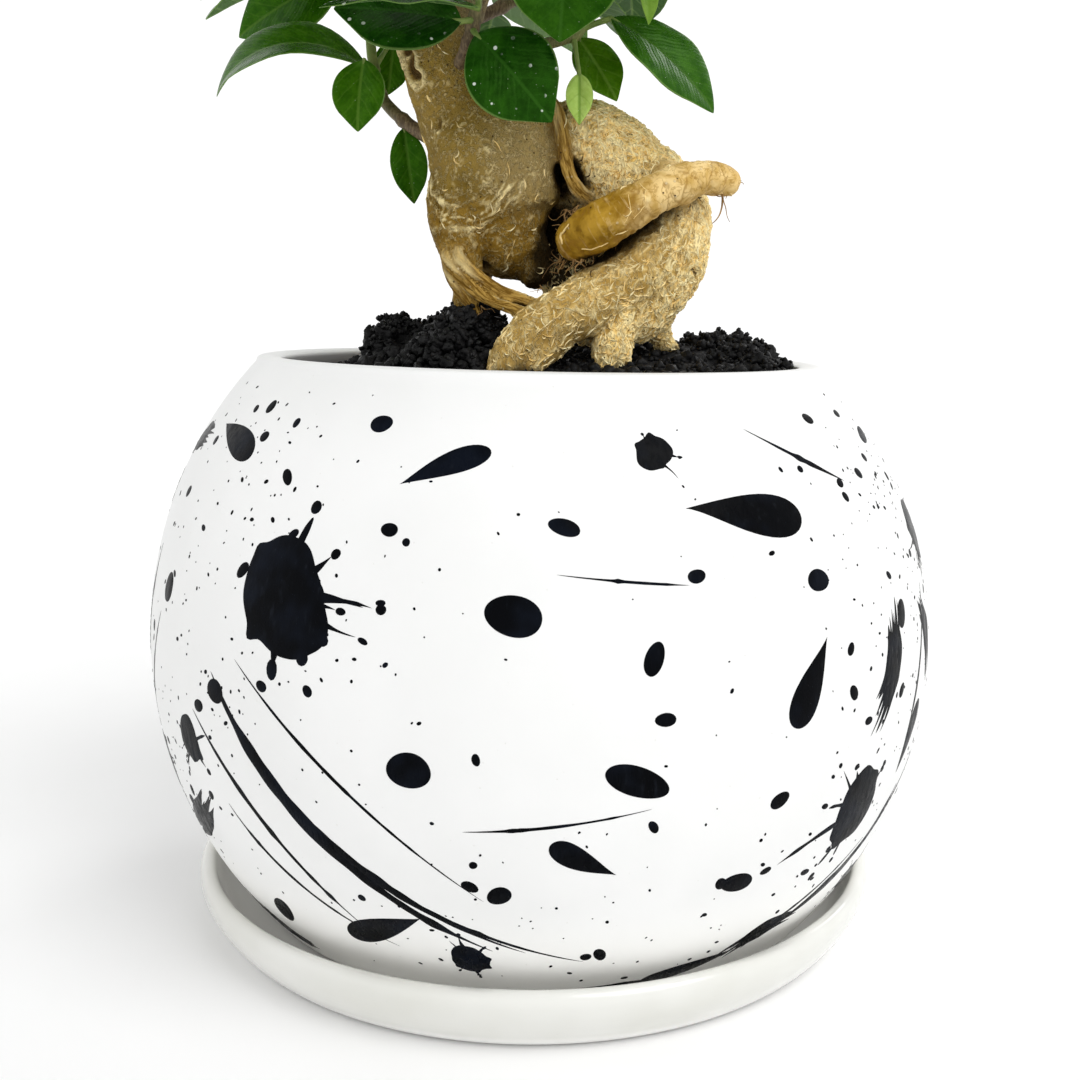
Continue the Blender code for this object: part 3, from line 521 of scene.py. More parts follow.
def add_splash(heap, outline, spot, pitch=1.6, height=1.0):
    """One splash: a thin slab over the outline, full height inside and thin at its edge."""
    outline = np.asarray(outline, float)
    inside = inner_points(outline, pitch, min(0.35, pitch / 3))
    flat = [Vector(point) for point in np.concatenate([outline, inside])]
    edge = [list(range(len(outline)))]
    knots, edges, tris, *origin = geometry.delaunay_2d_cdt(flat, [], edge, 1, 1e-5)
    if not tris:
        return
    flat = np.array([tuple(knot) for knot in knots])
    size = len(flat)
    tris = np.array([tri for tri in tris if len(tri) == 3])
    links = np.concatenate([tris[:, [0, 1]], tris[:, [1, 2]], tris[:, [2, 0]]])
    seen = dict.fromkeys(map(tuple, links.tolist()))
    rim = np.array([(a, b) for a, b in seen if (b, a) not in seen])
    at_edge = np.zeros(size, bool)
    at_edge[rim.ravel()] = True
    top = on_ball(flat, spot, np.where(at_edge, 0.25, 1.0) * INK_HEIGHT * height)
    low = on_ball(flat, spot, np.full(size, -INK_ROOT))
    walls = np.stack([rim[:, 0], rim[:, 0] + size, rim[:, 1] + size, rim[:, 1]], 1)
    heap.add(np.concatenate([top, low]), [tris, tris[:, ::-1] + size, walls])


# %% [markdown]
# An outline is a closed loop of points. A drop is an oval or is pulled to a tail, and a flick is a long
# lens that swells in places. The other two marks are put together from those: a blot is a knobbly body
# with hair-thin rays, and a dry brush mark is a bundle of bristle lines that start and stop unevenly.
# Overlapping slabs get slightly different heights, so that no two faces lie in one place.


# %% Outlines of drops, blots and flicks
def ripple(rng, t, waves, height):
    """Waves round an outline, that start at a random place."""
    return height * np.sin(waves * t + rng.uniform(0, 6))


def drop_outline(rng, length, width, tail, count=42):
    """A round or comet-shaped drop: tail is 0 for an oval and about 1.5 for a long point."""
    t = np.linspace(0, math.tau, count, endpoint=False)
    x = -np.cos(t) * length / 2
    y = np.sin(t) * width / 2 * np.abs(np.cos(t / 2)) ** tail * (1.25 if tail else 1)
    wobble = 1 + ripple(rng, t, 2, 0.035) + ripple(rng, t, 3, 0.02)
    bow = rng.uniform(-0.5, 0.5) * width * (x / length) ** 2 if tail else 0
    return np.column_stack([x * wobble, y * wobble + bow])


def body_outline(rng, size, count=90):
    """The body of a blot: round, with broad swellings and a few small knobs."""
    t = np.linspace(0, math.tau, count, endpoint=False)
    radius = size / 2 * (1 + ripple(rng, t, 2, 0.10) + ripple(rng, t, 3, 0.04))
    radius *= 1 + ripple(rng, t, 5, 0.015) + ripple(rng, t, 9, 0.01)
    for number in range(4):
        away = (t - rng.uniform(0, math.tau) + math.pi) % math.tau - math.pi
        radius += size * rng.uniform(0.03, 0.11) * np.exp(-((away / rng.uniform(0.12, 0.22)) ** 2))
    return np.column_stack([radius * np.cos(t), radius * np.sin(t)])


def flick_outline(rng, length, width, bow, full=0.35, beads=3):
    """A long thin stroke, widest at its full point, with a few swellings."""
    count = int(20 + length * 0.9)
    s = np.linspace(0, 1, count)
    lens = np.where(s < full, s / full, (1 - s) / (1 - full)).clip(0, 1) ** 0.75
    half = width / 2 * lens * (1 + 0.10 * np.sin(s * length * 0.7 + rng.uniform(0, 6)))
    for number in range(beads):
        centre = rng.uniform(0.12, 0.88)
        long = width * rng.uniform(0.8, 1.6)
        half += width * rng.uniform(0.06, 0.28) * np.exp(-(((s - centre) * length / long) ** 2))
    half[0] = half[-1] = 0.0
    x = (s - 0.5) * length
    y = bow * (1 - (2 * s - 1) ** 2)
    slope = np.gradient(y, x)
    across = np.column_stack([-slope, np.ones(count)]) / np.hypot(slope, 1)[:, None]
    spine = np.column_stack([x, y])
    left = spine + across * half[:, None]
    right = spine - across * half[:, None]
    return np.concatenate([left, right[-2:0:-1]])


def moved(outline, turn, x, y):
    """An outline turned by an angle in degrees and then moved."""
    c, s = math.cos(math.radians(turn)), math.sin(math.radians(turn))
    across, up = outline.T
    return np.column_stack([across * c - up * s + x, across * s + up * c + y])


# %% Put blots and brush marks together
def add_blot(heap, rng, spot, size, rays):
    """A body, hair-thin rays that leave it mostly one way, and droplets past their ends."""
    add_splash(heap, body_outline(rng, size), spot, 2.4)
    for number in range(rays):
        way = rng.gauss(0, 75)
        length = size * rng.uniform(0.12, 0.6) * (2 if rng.random() < 0.15 else 1)
        thick = size * rng.uniform(0.03, 0.10)
        from_middle = size * 0.36 + length / 2
        c, s = math.cos(math.radians(way)), math.sin(math.radians(way))
        ray = flick_outline(rng, length, thick, rng.uniform(-0.06, 0.06) * length, 0.08, 1)
        ray = moved(ray, way + rng.gauss(0, 7), from_middle * c, from_middle * s)
        add_splash(heap, ray, spot, 0.8, rng.uniform(0.6, 0.9))
        far = from_middle + length * rng.uniform(0.6, 0.9)
        grain = drop_outline(rng, thick * rng.uniform(1.2, 2.4), thick * rng.uniform(1.0, 1.6), 0, 12)
        add_splash(heap, moved(grain, way, far * c, far * s), spot, 0.8, 0.8)


def add_brush(heap, rng, spot, length, width):
    """Bristle lines side by side: together a broad stroke, with split and torn ends."""
    bristles = max(5, round(width / 0.8))
    bow = rng.uniform(-0.12, 0.12) * length
    for number in range(bristles):
        share = (number + 0.5) / bristles * 2 - 1
        long = length * (1 - 0.35 * share**2) * rng.uniform(0.72, 1.12)
        thick = width / bristles * rng.uniform(2.0, 3.0)
        line = flick_outline(rng, long, thick, bow, rng.uniform(0.35, 0.65), 1)
        line = moved(line, rng.gauss(0, 1.2), rng.uniform(-0.12, 0.12) * length, share * width * 0.42)
        add_splash(heap, line, spot, 1.6, 0.75 + 0.5 * rng.random())


# %% [markdown]
# The layout is a short list: what kind of mark, where on the ball (azimuth from the show
# side and elevation from its middle, in degrees), how it is turned, and its two sizes in millimetres.
# For a blot the second size is the number of its rays.

# %% Lay out the big marks
DROP, COMET, BLOT, FLICK, BRUSH = "drop", "comet", "blot", "flick", "brush"
MARKS = {
    BLOT: (
        (-33, 15, -60, 21, 9), (46, -14, 200, 15, 8), (-70, -15, 60, 14, 7), (72, 19, 250, 13, 6),
        (16, 34, 20, 7, 4), (-10, -31, 30, 8, 6), (-52, -6, 240, 9, 7), (58, -30, 150, 8, 5),
        (84, -12, 40, 12, 6),
    ),
    COMET: (
        (28, 26, 172, 25, 9.5), (-13, 32, 205, 17, 5.6), (34, 5, 62, 18, 7.5), (-54, 33, 165, 20, 7.0),
        (-22, -27, 28, 21, 7.0), (60, -8, 240, 17, 6.0), (24, -36, 14, 20, 5.0), (-82, 20, 250, 20, 7.0),
        (5, -14, -32, 14, 5.4),
    ),
    DROP: (
        (-3, 15, -14, 10.5, 7.0), (13, 10, 68, 6.5, 3.4), (-15, -3, 6, 8.6, 6.6), (11, -4, -24, 12.5, 5.6),
        (26, -20, -10, 7.0, 4.6), (-5, -19, 30, 5.0, 3.8), (3, 25, -16, 6.0, 3.0), (37, 17, 0, 5.4, 4.4),
        (-24, 37, 0, 4.6, 3.6), (-44, 2, 0, 5.4, 4.6), (-42, -30, 60, 8.0, 5.4), (55, 10, 70, 6.0, 4.0),
        (30, -9, 20, 4.4, 3.2), (-60, 12, 80, 6.4, 4.8), (-63, -34, 30, 8.0, 5.0), (19, 19, 10, 3.4, 2.6),
        (-19, 24, 0, 3.2, 2.6), (66, 34, 20, 6.0, 3.6),
    ),
    FLICK: (
        (-27, -13, -43, 78, 3.2), (-19, -19, -36, 58, 1.8), (-38, -15, -48, 56, 1.3),
        (-9, -25, -28, 46, 1.1), (-24, -7, -40, 66, 0.8), (-33, -22, -38, 44, 0.9), (50, -24, 38, 42, 2.2),
        (58, -20, 42, 36, 1.2), (42, -28, 32, 38, 0.9), (67, -26, 52, 36, 1.6), (2, -9, 7, 34, 0.7),
        (10, 19, 174, 24, 0.6), (-73, 6, 72, 34, 1.6), (-67, 0, 62, 30, 1.0), (41, 33, 150, 26, 1.0),
        (62, 2, 70, 34, 1.2), (8, -39, 6, 34, 2.4),
    ),
    BRUSH: (
        (50, 4, 68, 25, 7.0), (66, 4, 112, 22, 6.4), (-57, -19, 36, 27, 7.5), (-72, 31, 15, 18, 6.4),
        (-48, -36, 152, 22, 5.0), (36, -33, 24, 20, 4.6), (86, 14, 96, 20, 7.0), (-88, -14, 100, 20, 7.0),
    ),
}


def add_mark(heap, rng, kind, spot, length, width):
    """One mark of any kind. The heights of flicks and drops differ, so that crossings stay clean."""
    if kind == BLOT:
        add_blot(heap, rng, spot, length, int(width))
    elif kind == BRUSH:
        add_brush(heap, rng, spot, length, width)
    elif kind == FLICK:
        outline = flick_outline(rng, length, width, rng.uniform(-0.05, 0.05) * length)
        add_splash(heap, outline, spot, 1.6, 1.12)
    else:
        outline = drop_outline(rng, length, width, 1.4 if kind == COMET else 0)
        add_splash(heap, outline, spot, 2.0, 1.05)


# %% Fill the back, and scatter the specks
# Azimuth, elevation, spread and number of specks in each spray, in degrees
SPRAYS = (
    (-33, 15, 11, 60), (46, -14, 11, 60), (-66, -12, 13, 80), (68, 18, 12, 80), (-45, 2, 12, 70),
    (58, 28, 9, 60), (10, -28, 14, 40), (-45, 36, 9, 44), (52, 0, 13, 60), (5, 5, 26, 40),
    (-12, -32, 12, 34), (85, -5, 16, 60), (-85, 10, 16, 60), (-58, 24, 10, 40),
)
BACK_MARKS = 56
BACK_SPECKS = 420
BACK_KINDS = (BLOT, FLICK, COMET, BRUSH, DROP, FLICK, DROP)
BACK_LENGTHS = {BLOT: (7, 17), FLICK: (24, 60), COMET: (12, 24), BRUSH: (16, 26), DROP: (4, 10)}
SPECK_BAND = 41  # degrees above and below the ball's middle that specks reach


def ink_back(heap, rng):
    """The side that the picture doesn't show: the same kinds of mark, by seeded chance."""
    for number in range(BACK_MARKS):
        spot = (180 + rng.uniform(-84, 84), rng.uniform(-36, 36), rng.uniform(0, 360))
        kind = BACK_KINDS[number % len(BACK_KINDS)]
        length = rng.uniform(*BACK_LENGTHS[kind])
        widths = {BLOT: 7, FLICK: rng.uniform(0.8, 2.8), COMET: length * 0.36, BRUSH: length * 0.28}
        add_mark(heap, rng, kind, spot, length, widths.get(kind, length * 0.72))


def ink_specks(heap, rng):
    """Sprays of specks round the blots, and an even scatter of them over the back."""
    places = []
    for azimuth, elevation, spread_by, count in SPRAYS:
        for number in range(count):
            places.append((azimuth + rng.gauss(0, spread_by), elevation + rng.gauss(0, spread_by * 0.8)))
    for number in range(BACK_SPECKS):
        places.append((180 + rng.uniform(-88, 88), rng.uniform(-38, 40)))
    for azimuth, elevation in places:
        if abs(elevation) > SPECK_BAND:
            continue
        size = 0.26 + 0.6 * rng.random() ** 2 + (2.2 * rng.random() if rng.random() < 0.14 else 0)
        outline = drop_outline(rng, size * rng.uniform(1.0, 1.7), size, 0, 8 if size < 0.8 else 16)
        add_splash(heap, outline, (azimuth, elevation, rng.uniform(0, 180)), 0.7, 0.7)


rng = random.Random(4)
heap = Heap()
for kind, marks in MARKS.items():
    for *spot, length, width in marks:
        add_mark(heap, rng, kind, spot, length, width)
ink_back(heap, rng)
settle(piece("ink_marks", heap, ink, sharp=75), "white_ceramic")
heap = Heap()
ink_specks(heap, rng)
settle(piece("ink_specks", heap, ink, sharp=75), "white_ceramic")

# %% [markdown]
# ## Soil
# The soil is a black, crumbly mix. Seen close it is not a surface but a heap of lumps, each made of
# finer crumbs with a wet shine. A height field gives the mounds, with the same formula as the solid, and
# lumps of three sizes are strewn over it, each a small ball with its corners pushed in and out.

# %% Shape of the soil's top
SOIL_CLEARANCE = 0.35 * MM
SOIL_MIDDLE = 1.2 * MM
SOIL_RISE_BACK = 0.12
SOIL_EDGE_DROP = 7.5 * MM
SOIL_EDGE_LEAN = 5.0 * MM
SOIL_CLOD = 1.8 * MM
SOIL_CLOD_SIZE = 9 * MM
SOIL_HEAPS = ((-14.5, 5, 7.5, 9.5), (-27, 7, 8, 4.5), (-36, 6, 6, 4.5), (37, 5, 9, 3), (47, -3, 8, 2))
INNER_RADIUS = POT_RADIUS - POT_WALL


def wall_radius(z):
    """Inner radius of the pot at a height."""
    return math.sqrt(INNER_RADIUS**2 - (z - POT_CENTRE_Z) ** 2)


SOIL_RIM_RADIUS = wall_radius(RIM_Z - LIP_ROUND)


def soil_height(x, y):
    """Top of the soil before the rim's slope is added."""
    reach = math.hypot(x, y)
    share = reach / SOIL_RIM_RADIUS
    right_share = x / max(reach, MM)
    edge_drop = SOIL_EDGE_DROP - SOIL_EDGE_LEAN * right_share + max(0.0, SOIL_RISE_BACK * y)
    top = RIM_Z + SOIL_MIDDLE + SOIL_RISE_BACK * y - edge_drop * share**4
    for heap_x, heap_y, spread, height in SOIL_HEAPS:
        distance = math.hypot(x / MM - heap_x, y / MM - heap_y)
        top += height * MM * math.exp(-((distance / spread) ** 2))
    place = Vector((x, y, 0)) / SOIL_CLOD_SIZE
    return top + SOIL_CLOD * (noise.noise(place) + 0.5 * noise.noise(place * 2))


def soil_top(x, y):
    """Top of the soil with its crumbs' own unevenness."""
    place = Vector((x, y, 0.01)) / MM
    rough = 0.55 * noise.noise(place / 2.4) + 0.3 * noise.noise(place / 1.1)
    height = soil_height(x, y) + rough * MM
    return height + trim_shift((x, y, height))


# %% Black soil that shines where it is wet
def soil_look():
    look = Look("black_crumbs", 0.5, Specular_IOR_Level=0.2)
    crumbs = look.cells(0.9)
    fine = look.noise(0.5, detail=4, rough=0.7)
    dark = look.mix(look.noise(6).step(0.35, 0.7), (0.0018, 0.0018, 0.0020), (0.0065, 0.0062, 0.0066))
    look.colour(look.mix(fine.step(0.62, 0.8) * 0.5, dark, (0.020, 0.018, 0.016)))
    look.roughness(0.34 + 0.4 * look.noise(2.2).step(0.35, 0.65))
    look.relief(0.22 * (1 - crumbs) + 0.16 * fine)
    return look.material


earth = soil_look()

# %% The soil's body
SOIL_ROUND = 200  # points round each ring
SOIL_OUT = 60  # rings from the middle to the wall
SOIL_WALL = ((100, 0.994), (65, 0.994), (30, 0.99), (15, 0.99))  # height in mm, share of the radius
SOIL_FLOOR = (60 * MM, 10.6 * MM)  # radius and height


def soil_rings():
    """Rings of points: out over the top, down the inside of the pot, and in over its floor."""
    angles = math.tau * np.arange(SOIL_ROUND) / SOIL_ROUND
    rings = []
    for step in range(SOIL_OUT + 1):
        reach = (SOIL_RIM_RADIUS + 0.2 * MM) * (step / SOIL_OUT) ** 0.9
        ring = []
        for angle in angles:
            x, y = reach * math.cos(angle), reach * math.sin(angle)
            z = soil_top(x, y)
            if step == SOIL_OUT:
                room = wall_radius(z) - SOIL_CLEARANCE
                x, y = room * math.cos(angle), room * math.sin(angle)
            ring.append((x, y, z))
        rings.append(ring)
    lower = [(wall_radius(z * MM) * share - SOIL_CLEARANCE, z * MM) for z, share in SOIL_WALL]
    for radius, z in (*lower, SOIL_FLOOR, (0, SOIL_FLOOR[1])):
        rings.append([(radius * math.cos(angle), radius * math.sin(angle), z) for angle in angles])
    return np.array(rings)


heap = Heap()
rings = soil_rings()
heap.add(rings, ring_faces(len(rings), SOIL_ROUND))
settle(piece("soil_fine", heap, earth, sharp=80, weld=True), "black_soil", "soil")


# %% A lump of soil
def ball(subdivisions):
    bm = bmesh.new()
    bmesh.ops.create_icosphere(bm, subdivisions=subdivisions, radius=1)
    points = np.array([tuple(vertex.co) for vertex in bm.verts])
    faces = np.array([[vertex.index for vertex in face.verts] for face in bm.faces])
    bm.free()
    return points, faces


def random_arrow(rng, size=3):
    """Numbers from the bell curve: as an arrow, they point any way with the same odds."""
    return [rng.gauss(0, 1) for axis in range(size)]


def lump(rng, ball_points, size, rough):
    """A ball pushed out of round at random: stretched, knobbly and turned."""
    seed = Vector([rng.uniform(0, 90) for axis in range(3)])
    push = [noise.noise(Vector(point) * 1.3 + seed) for point in ball_points]
    if len(ball_points) > 50:
        push = [p + 0.45 * noise.noise(Vector(point) * 3.4 + seed) for p, point in zip(push, ball_points)]
    grown = ball_points * (1 + rough * np.array(push))[:, None]
    grown = grown * [rng.uniform(0.75, 1.25), rng.uniform(0.75, 1.25), rng.uniform(0.6, 1.0)]
    turn = Quaternion(random_arrow(rng, 4)).normalized()
    return grown @ np.array(turn.to_matrix()).T * size


def read_back(obj):
    """Points and faces of a mesh, as a tree of rays wants them."""
    points = [vertex.co.copy() for vertex in obj.data.vertices]
    return points, [tuple(face.vertices) for face in obj.data.polygons]


# %% Strew lumps and crumbs
PILE_X, PILE_Y, PILE_HEIGHT = -17.0, -13.0, 12.5  # in front of the left leg, in millimetres


def strew(heap, rng, count, subdivisions, size_low, size_high, sunk):
    """Lumps over the soil's top, partly sunk in it, and inside the pot's wall."""
    ball_points, ball_faces = ball(subdivisions)
    for number in range(count):
        size = rng.uniform(size_low, size_high) * MM
        share = math.sqrt(rng.random())
        angle = rng.uniform(0, math.tau)
        reach = min(share * SOIL_RIM_RADIUS, SOIL_RIM_RADIUS - size - 0.6 * MM)
        x, y = reach * math.cos(angle), reach * math.sin(angle)
        middle = np.array((x, y, soil_top(x, y) + size * (1 - 2 * sunk) * rng.uniform(0.4, 1.0)))
        heap.add(lump(rng, ball_points, size, 0.55) + middle, [ball_faces])


def strew_heaps(heap, rng, count):
    """The biggest lumps lie on the heaps, where the soil was piled against the roots."""
    ball_points, ball_faces = ball(3)
    for number in range(count):
        heap_x, heap_y, spread_by, height = SOIL_HEAPS[number % len(SOIL_HEAPS)]
        x = (heap_x + rng.gauss(0, spread_by * 0.75)) * MM
        y = (heap_y + rng.gauss(0, spread_by * 0.75)) * MM
        size = rng.uniform(1.3, 2.7) * MM
        if math.hypot(x, y) < SOIL_RIM_RADIUS - size - MM:
            middle = np.array((x, y, soil_top(x, y) + size * rng.uniform(-0.2, 0.35)))
            heap.add(lump(rng, ball_points, size, 0.85) + middle, [ball_faces])


def pile(heap, rng, count):
    """Lumps piled up against the front of the left leg, over the place where it meets the soil."""
    ball_points, ball_faces = ball(2)
    for number in range(count):
        x, y = rng.gauss(PILE_X, 6.0), rng.gauss(PILE_Y, 4.2)
        top = PILE_HEIGHT * math.exp(-(((x - PILE_X) / 11) ** 2) - ((y - PILE_Y) / 8) ** 2)
        size = rng.uniform(0.8, 1.9)
        above = max(0, top * math.sqrt(rng.random()) - size * 0.4) * MM
        middle = np.array((x * MM, y * MM, soil_top(x * MM, y * MM) + above))
        heap.add(lump(rng, ball_points, size * MM, 0.75) + middle, [ball_faces])


def pile_crumbs(heap, rng, count, lumps):
    """Small crumbs over the heaps and the pile, set down from above on what is there."""
    ball_points, ball_faces = ball(1)
    below = BVHTree.FromPolygons(*read_back(lumps))
    heaps = (*SOIL_HEAPS, (PILE_X, PILE_Y, 9, 0))
    for number in range(count):
        heap_x, heap_y, spread_by, height = heaps[number % len(heaps)]
        x = (heap_x + rng.gauss(0, spread_by * 0.7)) * MM
        y = (heap_y + rng.gauss(0, spread_by * 0.7)) * MM
        found, normal, face, away = below.ray_cast(Vector((x, y, 0.16)), Vector((0, 0, -1)), 0.05)
        if found is not None:
            size = rng.uniform(0.3, 0.8) * MM
            middle = np.array(found + normal * size * 0.4)
            heap.add(lump(rng, ball_points, size, 0.6) + middle, [ball_faces])


# Count, fineness of the ball, least and greatest size in millimetres, and share sunk in
BIG_LUMPS = (64, 3, 1.5, 2.6, 0.40)
SMALL_LUMPS = (430, 2, 0.8, 1.7, 0.36)
CRUMBS = (2700, 1, 0.3, 0.8, 0.30)
HEAP_LUMPS, PILE_LUMPS, PILE_CRUMBS = 84, 560, 1500

rng = random.Random(7)
heap = Heap()
strew_heaps(heap, rng, HEAP_LUMPS)
pile(heap, rng, PILE_LUMPS)
strew(heap, rng, *BIG_LUMPS)
strew(heap, rng, *SMALL_LUMPS)
lumps = settle(piece("soil_lumps", heap, earth, sharp=80), "black_soil")
heap = Heap()
strew(heap, rng, *CRUMBS)
pile_crumbs(heap, rng, PILE_CRUMBS, lumps)
settle(piece("soil_crumbs", heap, earth, sharp=80), "black_soil")

# %% [markdown]
# ## Trunk
# The trunk is one living thing: a bottle-shaped neck, a round lobe beside it, an arm-like root lying
# across the front, and legs that run into the soil. Each limb is a tube that swells and narrows. A voxel
# remesh grows the tubes together, as in the solid model but twice as fine, so that the clefts between
# them stay deep and the thin string roots stay apart.

# %% Limbs of the trunk
# Kinds of bark: smooth olive, fibrous, smooth golden, string root, graft, and the plainer branch
BULB, FIBROUS, GOLDEN, STRING, GRAFT, BRANCH = range(6)
# Each limb's kind of bark, then (x, y, z, radius) in millimetres along it
LIMBS = {
    "neck": (BULB, (-23.5, 0, 203, 8.2), (-23, 0, 198, 8.3), (-21.6, 0, 192, 8.9), (-18.4, 1, 186, 10.8),
        (-14.4, 1, 180.5, 13.2), (-11.4, 1, 174, 14.5), (-9.8, 1, 167, 14.7), (-8.5, 1, 159.5, 12.9),
        (-5.6, 0, 154, 9.5), (-2.8, -1, 150.6, 6.4), (-1.4, -2, 148.4, 3.8)),
    "shoulder": (BULB, (-17, 1, 186, 9), (-7.6, 0, 181, 10), (-5, 0, 174, 10)),
    "left_leg": (BULB, (-16.5, -2, 168, 8.6), (-18.2, -5, 162, 7), (-18.6, -7, 157, 5.6),
        (-17.6, -8, 152, 4.5), (-16.6, -8, 146.5, 3.4), (-16.6, -8, 140, 2.6), (-17.6, -8, 131, 2.2),
        (-18.6, -7, 121, 1.8)),
    "left_back_leg": (BULB, (-12, 9, 170, 9), (-15, 12, 159, 7), (-16.4, 15, 147, 4.6),
        (-17.4, 18, 134, 4.0), (-18, 20, 120, 3.2)),
    "lobe": (FIBROUS, (2.6, 5, 177.5, 7.0), (8.6, 4, 178.0, 9.2), (14.4, 3, 175.2, 10.3),
        (19.2, 2, 170.4, 10.4), (22.8, 1, 165, 10.2)),
    "lobe_back": (FIBROUS, (8, 10, 175, 9), (10.6, 13, 166, 10.2), (8.8, 15, 156, 9.4), (9.4, 18, 142, 7.8),
        (12, 22, 122, 5.5)),
    "arm": (GOLDEN, (7.6, -14.5, 154.9, 4.3), (10.4, -16.5, 156.4, 5.0), (15, -18, 158.8, 5.3),
        (21.4, -18.5, 162.9, 4.9), (28.5, -17, 166.4, 4.3), (34.4, -14.5, 168.5, 3.7),
        (38.6, -12.5, 168.4, 3.9), (40.6, -12, 167.9, 3.3)),
    "arm_root": (GOLDEN, (31, -13, 167, 4.2), (29, -8, 168, 4.5), (26, -2, 167.5, 5.5)),
    "flank": (FIBROUS, (25, 1, 168, 8.8), (28.0, -2, 161.5, 9.8), (27.9, -4, 154, 10.2),
        (25.0, -6, 147, 10.0), (21.5, -8, 141, 8.0)),
    "flank_back": (FIBROUS, (23, 8, 160, 9.5), (23.5, 11, 148, 8), (23.5, 14, 136, 5.4),
        (24.5, 17, 120, 4)),
    "branch": (BRANCH, (25.2, -7, 151.5, 9.4), (17.8, -11, 145.2, 8.0), (9.9, -15, 140.8, 6.8),
        (2.2, -19, 137.4, 5.9), (-3.6, -22, 133.4, 4.9), (-7.4, -24, 129.6, 3.6), (-9.6, -25, 123, 2.4)),
    "branch_lobe": (BRANCH, (3.0, -19, 135, 4.6), (-1.6, -22, 130, 3.9), (-3.8, -23, 124, 2.8)),
    "front_foot": (FIBROUS, (18.6, -11, 140.5, 6.7), (16.2, -15, 135, 4.7), (15.9, -17, 130.4, 4.1),
        (15.8, -18, 121, 3.2)),
    "right_foot": (FIBROUS, (25.4, -6, 142, 6.2), (27, -4.5, 135.6, 3), (29.5, -2, 131, 2.3),
        (33.4, 1, 122, 1.9)),
    "cord": (STRING, (-1, -4, 187, 1.6), (3.4, -5.2, 184.6, 1.6), (4.9, -5.6, 178.7, 1.6),
        (5.6, -6, 173, 1.7), (6.8, -6.3, 169, 1.8), (9.0, -5, 166, 1.8), (12.5, -1, 164.4, 1.8)),
    "string_a": (STRING, (-20.2, -8.5, 155, 1.7), (-20.4, -11.6, 151, 1.5), (-16.5, -13.4, 146.8, 1.3),
        (-11.9, -15.6, 142.4, 1.3), (-3.9, -19.6, 139.4, 1.3), (2.0, -21, 137, 1.2)),
    "string_b": (STRING, (-18.4, -9.5, 155.5, 1.7), (-17.7, -12.4, 151.4, 1.5), (-13.9, -13.4, 147.5, 1.5),
        (-8.2, -14.4, 143.6, 1.5), (-2.0, -16.5, 141.4, 1.4), (3.6, -18, 140.2, 1.3)),
    "string_c": (STRING, (-20.6, -8, 153, 1.6), (-20.2, -11, 148.6, 1.4), (-17.8, -12.4, 144.8, 1.3),
        (-14.0, -13.6, 139.4, 1.2), (-11, -15, 131, 1.1), (-9.5, -16, 122, 1.0)),
    "graft_left": (GRAFT, (-25.5, 1, 199, 5.6), (-28.5, 2.5, 207, 5.0), (-31, 4, 214.5, 4.4)),
    "graft_right": (GRAFT, (-20.5, -1, 199, 5.6), (-16.5, -0.5, 207, 4.8), (-13, 0.5, 215, 4.2)),
    "graft_back": (GRAFT, (-22, 3, 198, 5.6), (-20.5, 9, 205, 4.6), (-19.5, 13, 212, 4.0)),
}
KNOB_SIZE = 11 * MM
KNOB_HEIGHT = 0.7 * MM
FINE_VOXEL = 0.54 * MM


# %% Grow the limbs together
def evaluated_mesh(obj):
    bpy.context.view_layer.update()
    graph = bpy.context.evaluated_depsgraph_get()
    return bpy.data.meshes.new_from_object(obj.evaluated_get(graph))


def limb_tubes():
    curve = bpy.data.curves.new("limbs", "CURVE")
    curve.dimensions = "3D"
    curve.bevel_depth = MM
    curve.bevel_resolution = 6
    curve.resolution_u = 8
    curve.use_fill_caps = True
    for kind, *points in LIMBS.values():
        spline = curve.splines.new("BEZIER")
        spline.radius_interpolation = "CARDINAL"
        spline.bezier_points.add(len(points) - 1)
        for knot, (x, y, z, radius) in zip(spline.bezier_points, points):
            knot.co = Vector((x, y, z)) * MM
            knot.radius = radius
            knot.handle_left_type = "AUTO"
            knot.handle_right_type = "AUTO"
    tubes = bpy.data.objects.new("limbs", curve)
    scene.collection.objects.link(tubes)
    mesh = evaluated_mesh(tubes)
    bpy.data.objects.remove(tubes)
    return mesh


def grown_trunk():
    """The limbs and their rounded ends as one skin."""
    bm = bmesh.new()
    bm.from_mesh(limb_tubes())
    for kind, *points in LIMBS.values():
        for x, y, z, radius in (points[0], points[-1]):
            place = Matrix.Translation(Vector((x, y, z)) * MM) @ Matrix.Scale(radius * MM, 4)
            bmesh.ops.create_uvsphere(bm, u_segments=18, v_segments=10, radius=1, matrix=place)
    mesh = bpy.data.meshes.new("trunk_fine")
    bm.to_mesh(mesh)
    bm.free()
    obj = bpy.data.objects.new("trunk_fine", mesh)
    scene.collection.objects.link(obj)
    remesh = obj.modifiers.new("grow_together", "REMESH")
    remesh.mode = "VOXEL"
    remesh.voxel_size = FINE_VOXEL
    smooth = obj.modifiers.new("soften", "SMOOTH")
    smooth.factor = 0.5
    smooth.iterations = 5
    skin = evaluated_mesh(obj)
    obj.modifiers.clear()
    obj.data = skin
    return obj


def keep_main_body(obj):
    """Only the largest connected surface stays."""
    bm = bmesh.new()
    bm.from_mesh(obj.data)
    left = set(bm.faces)
    bodies = []
    while left:
        front = [left.pop()]
        bodies.append(list(front))
        while front:
            near = {face for edge in front.pop().edges for face in edge.link_faces} & left
            left -= near
            front += near
            bodies[-1] += near
    bodies.sort(key=len, reverse=True)
    bmesh.ops.delete(bm, geom=sum(bodies[1:], []), context="FACES")
    bm.to_mesh(obj.data)
    bm.free()


trunk = grown_trunk()
keep_main_body(trunk)
print("trunk skin:", len(trunk.data.vertices), "points")

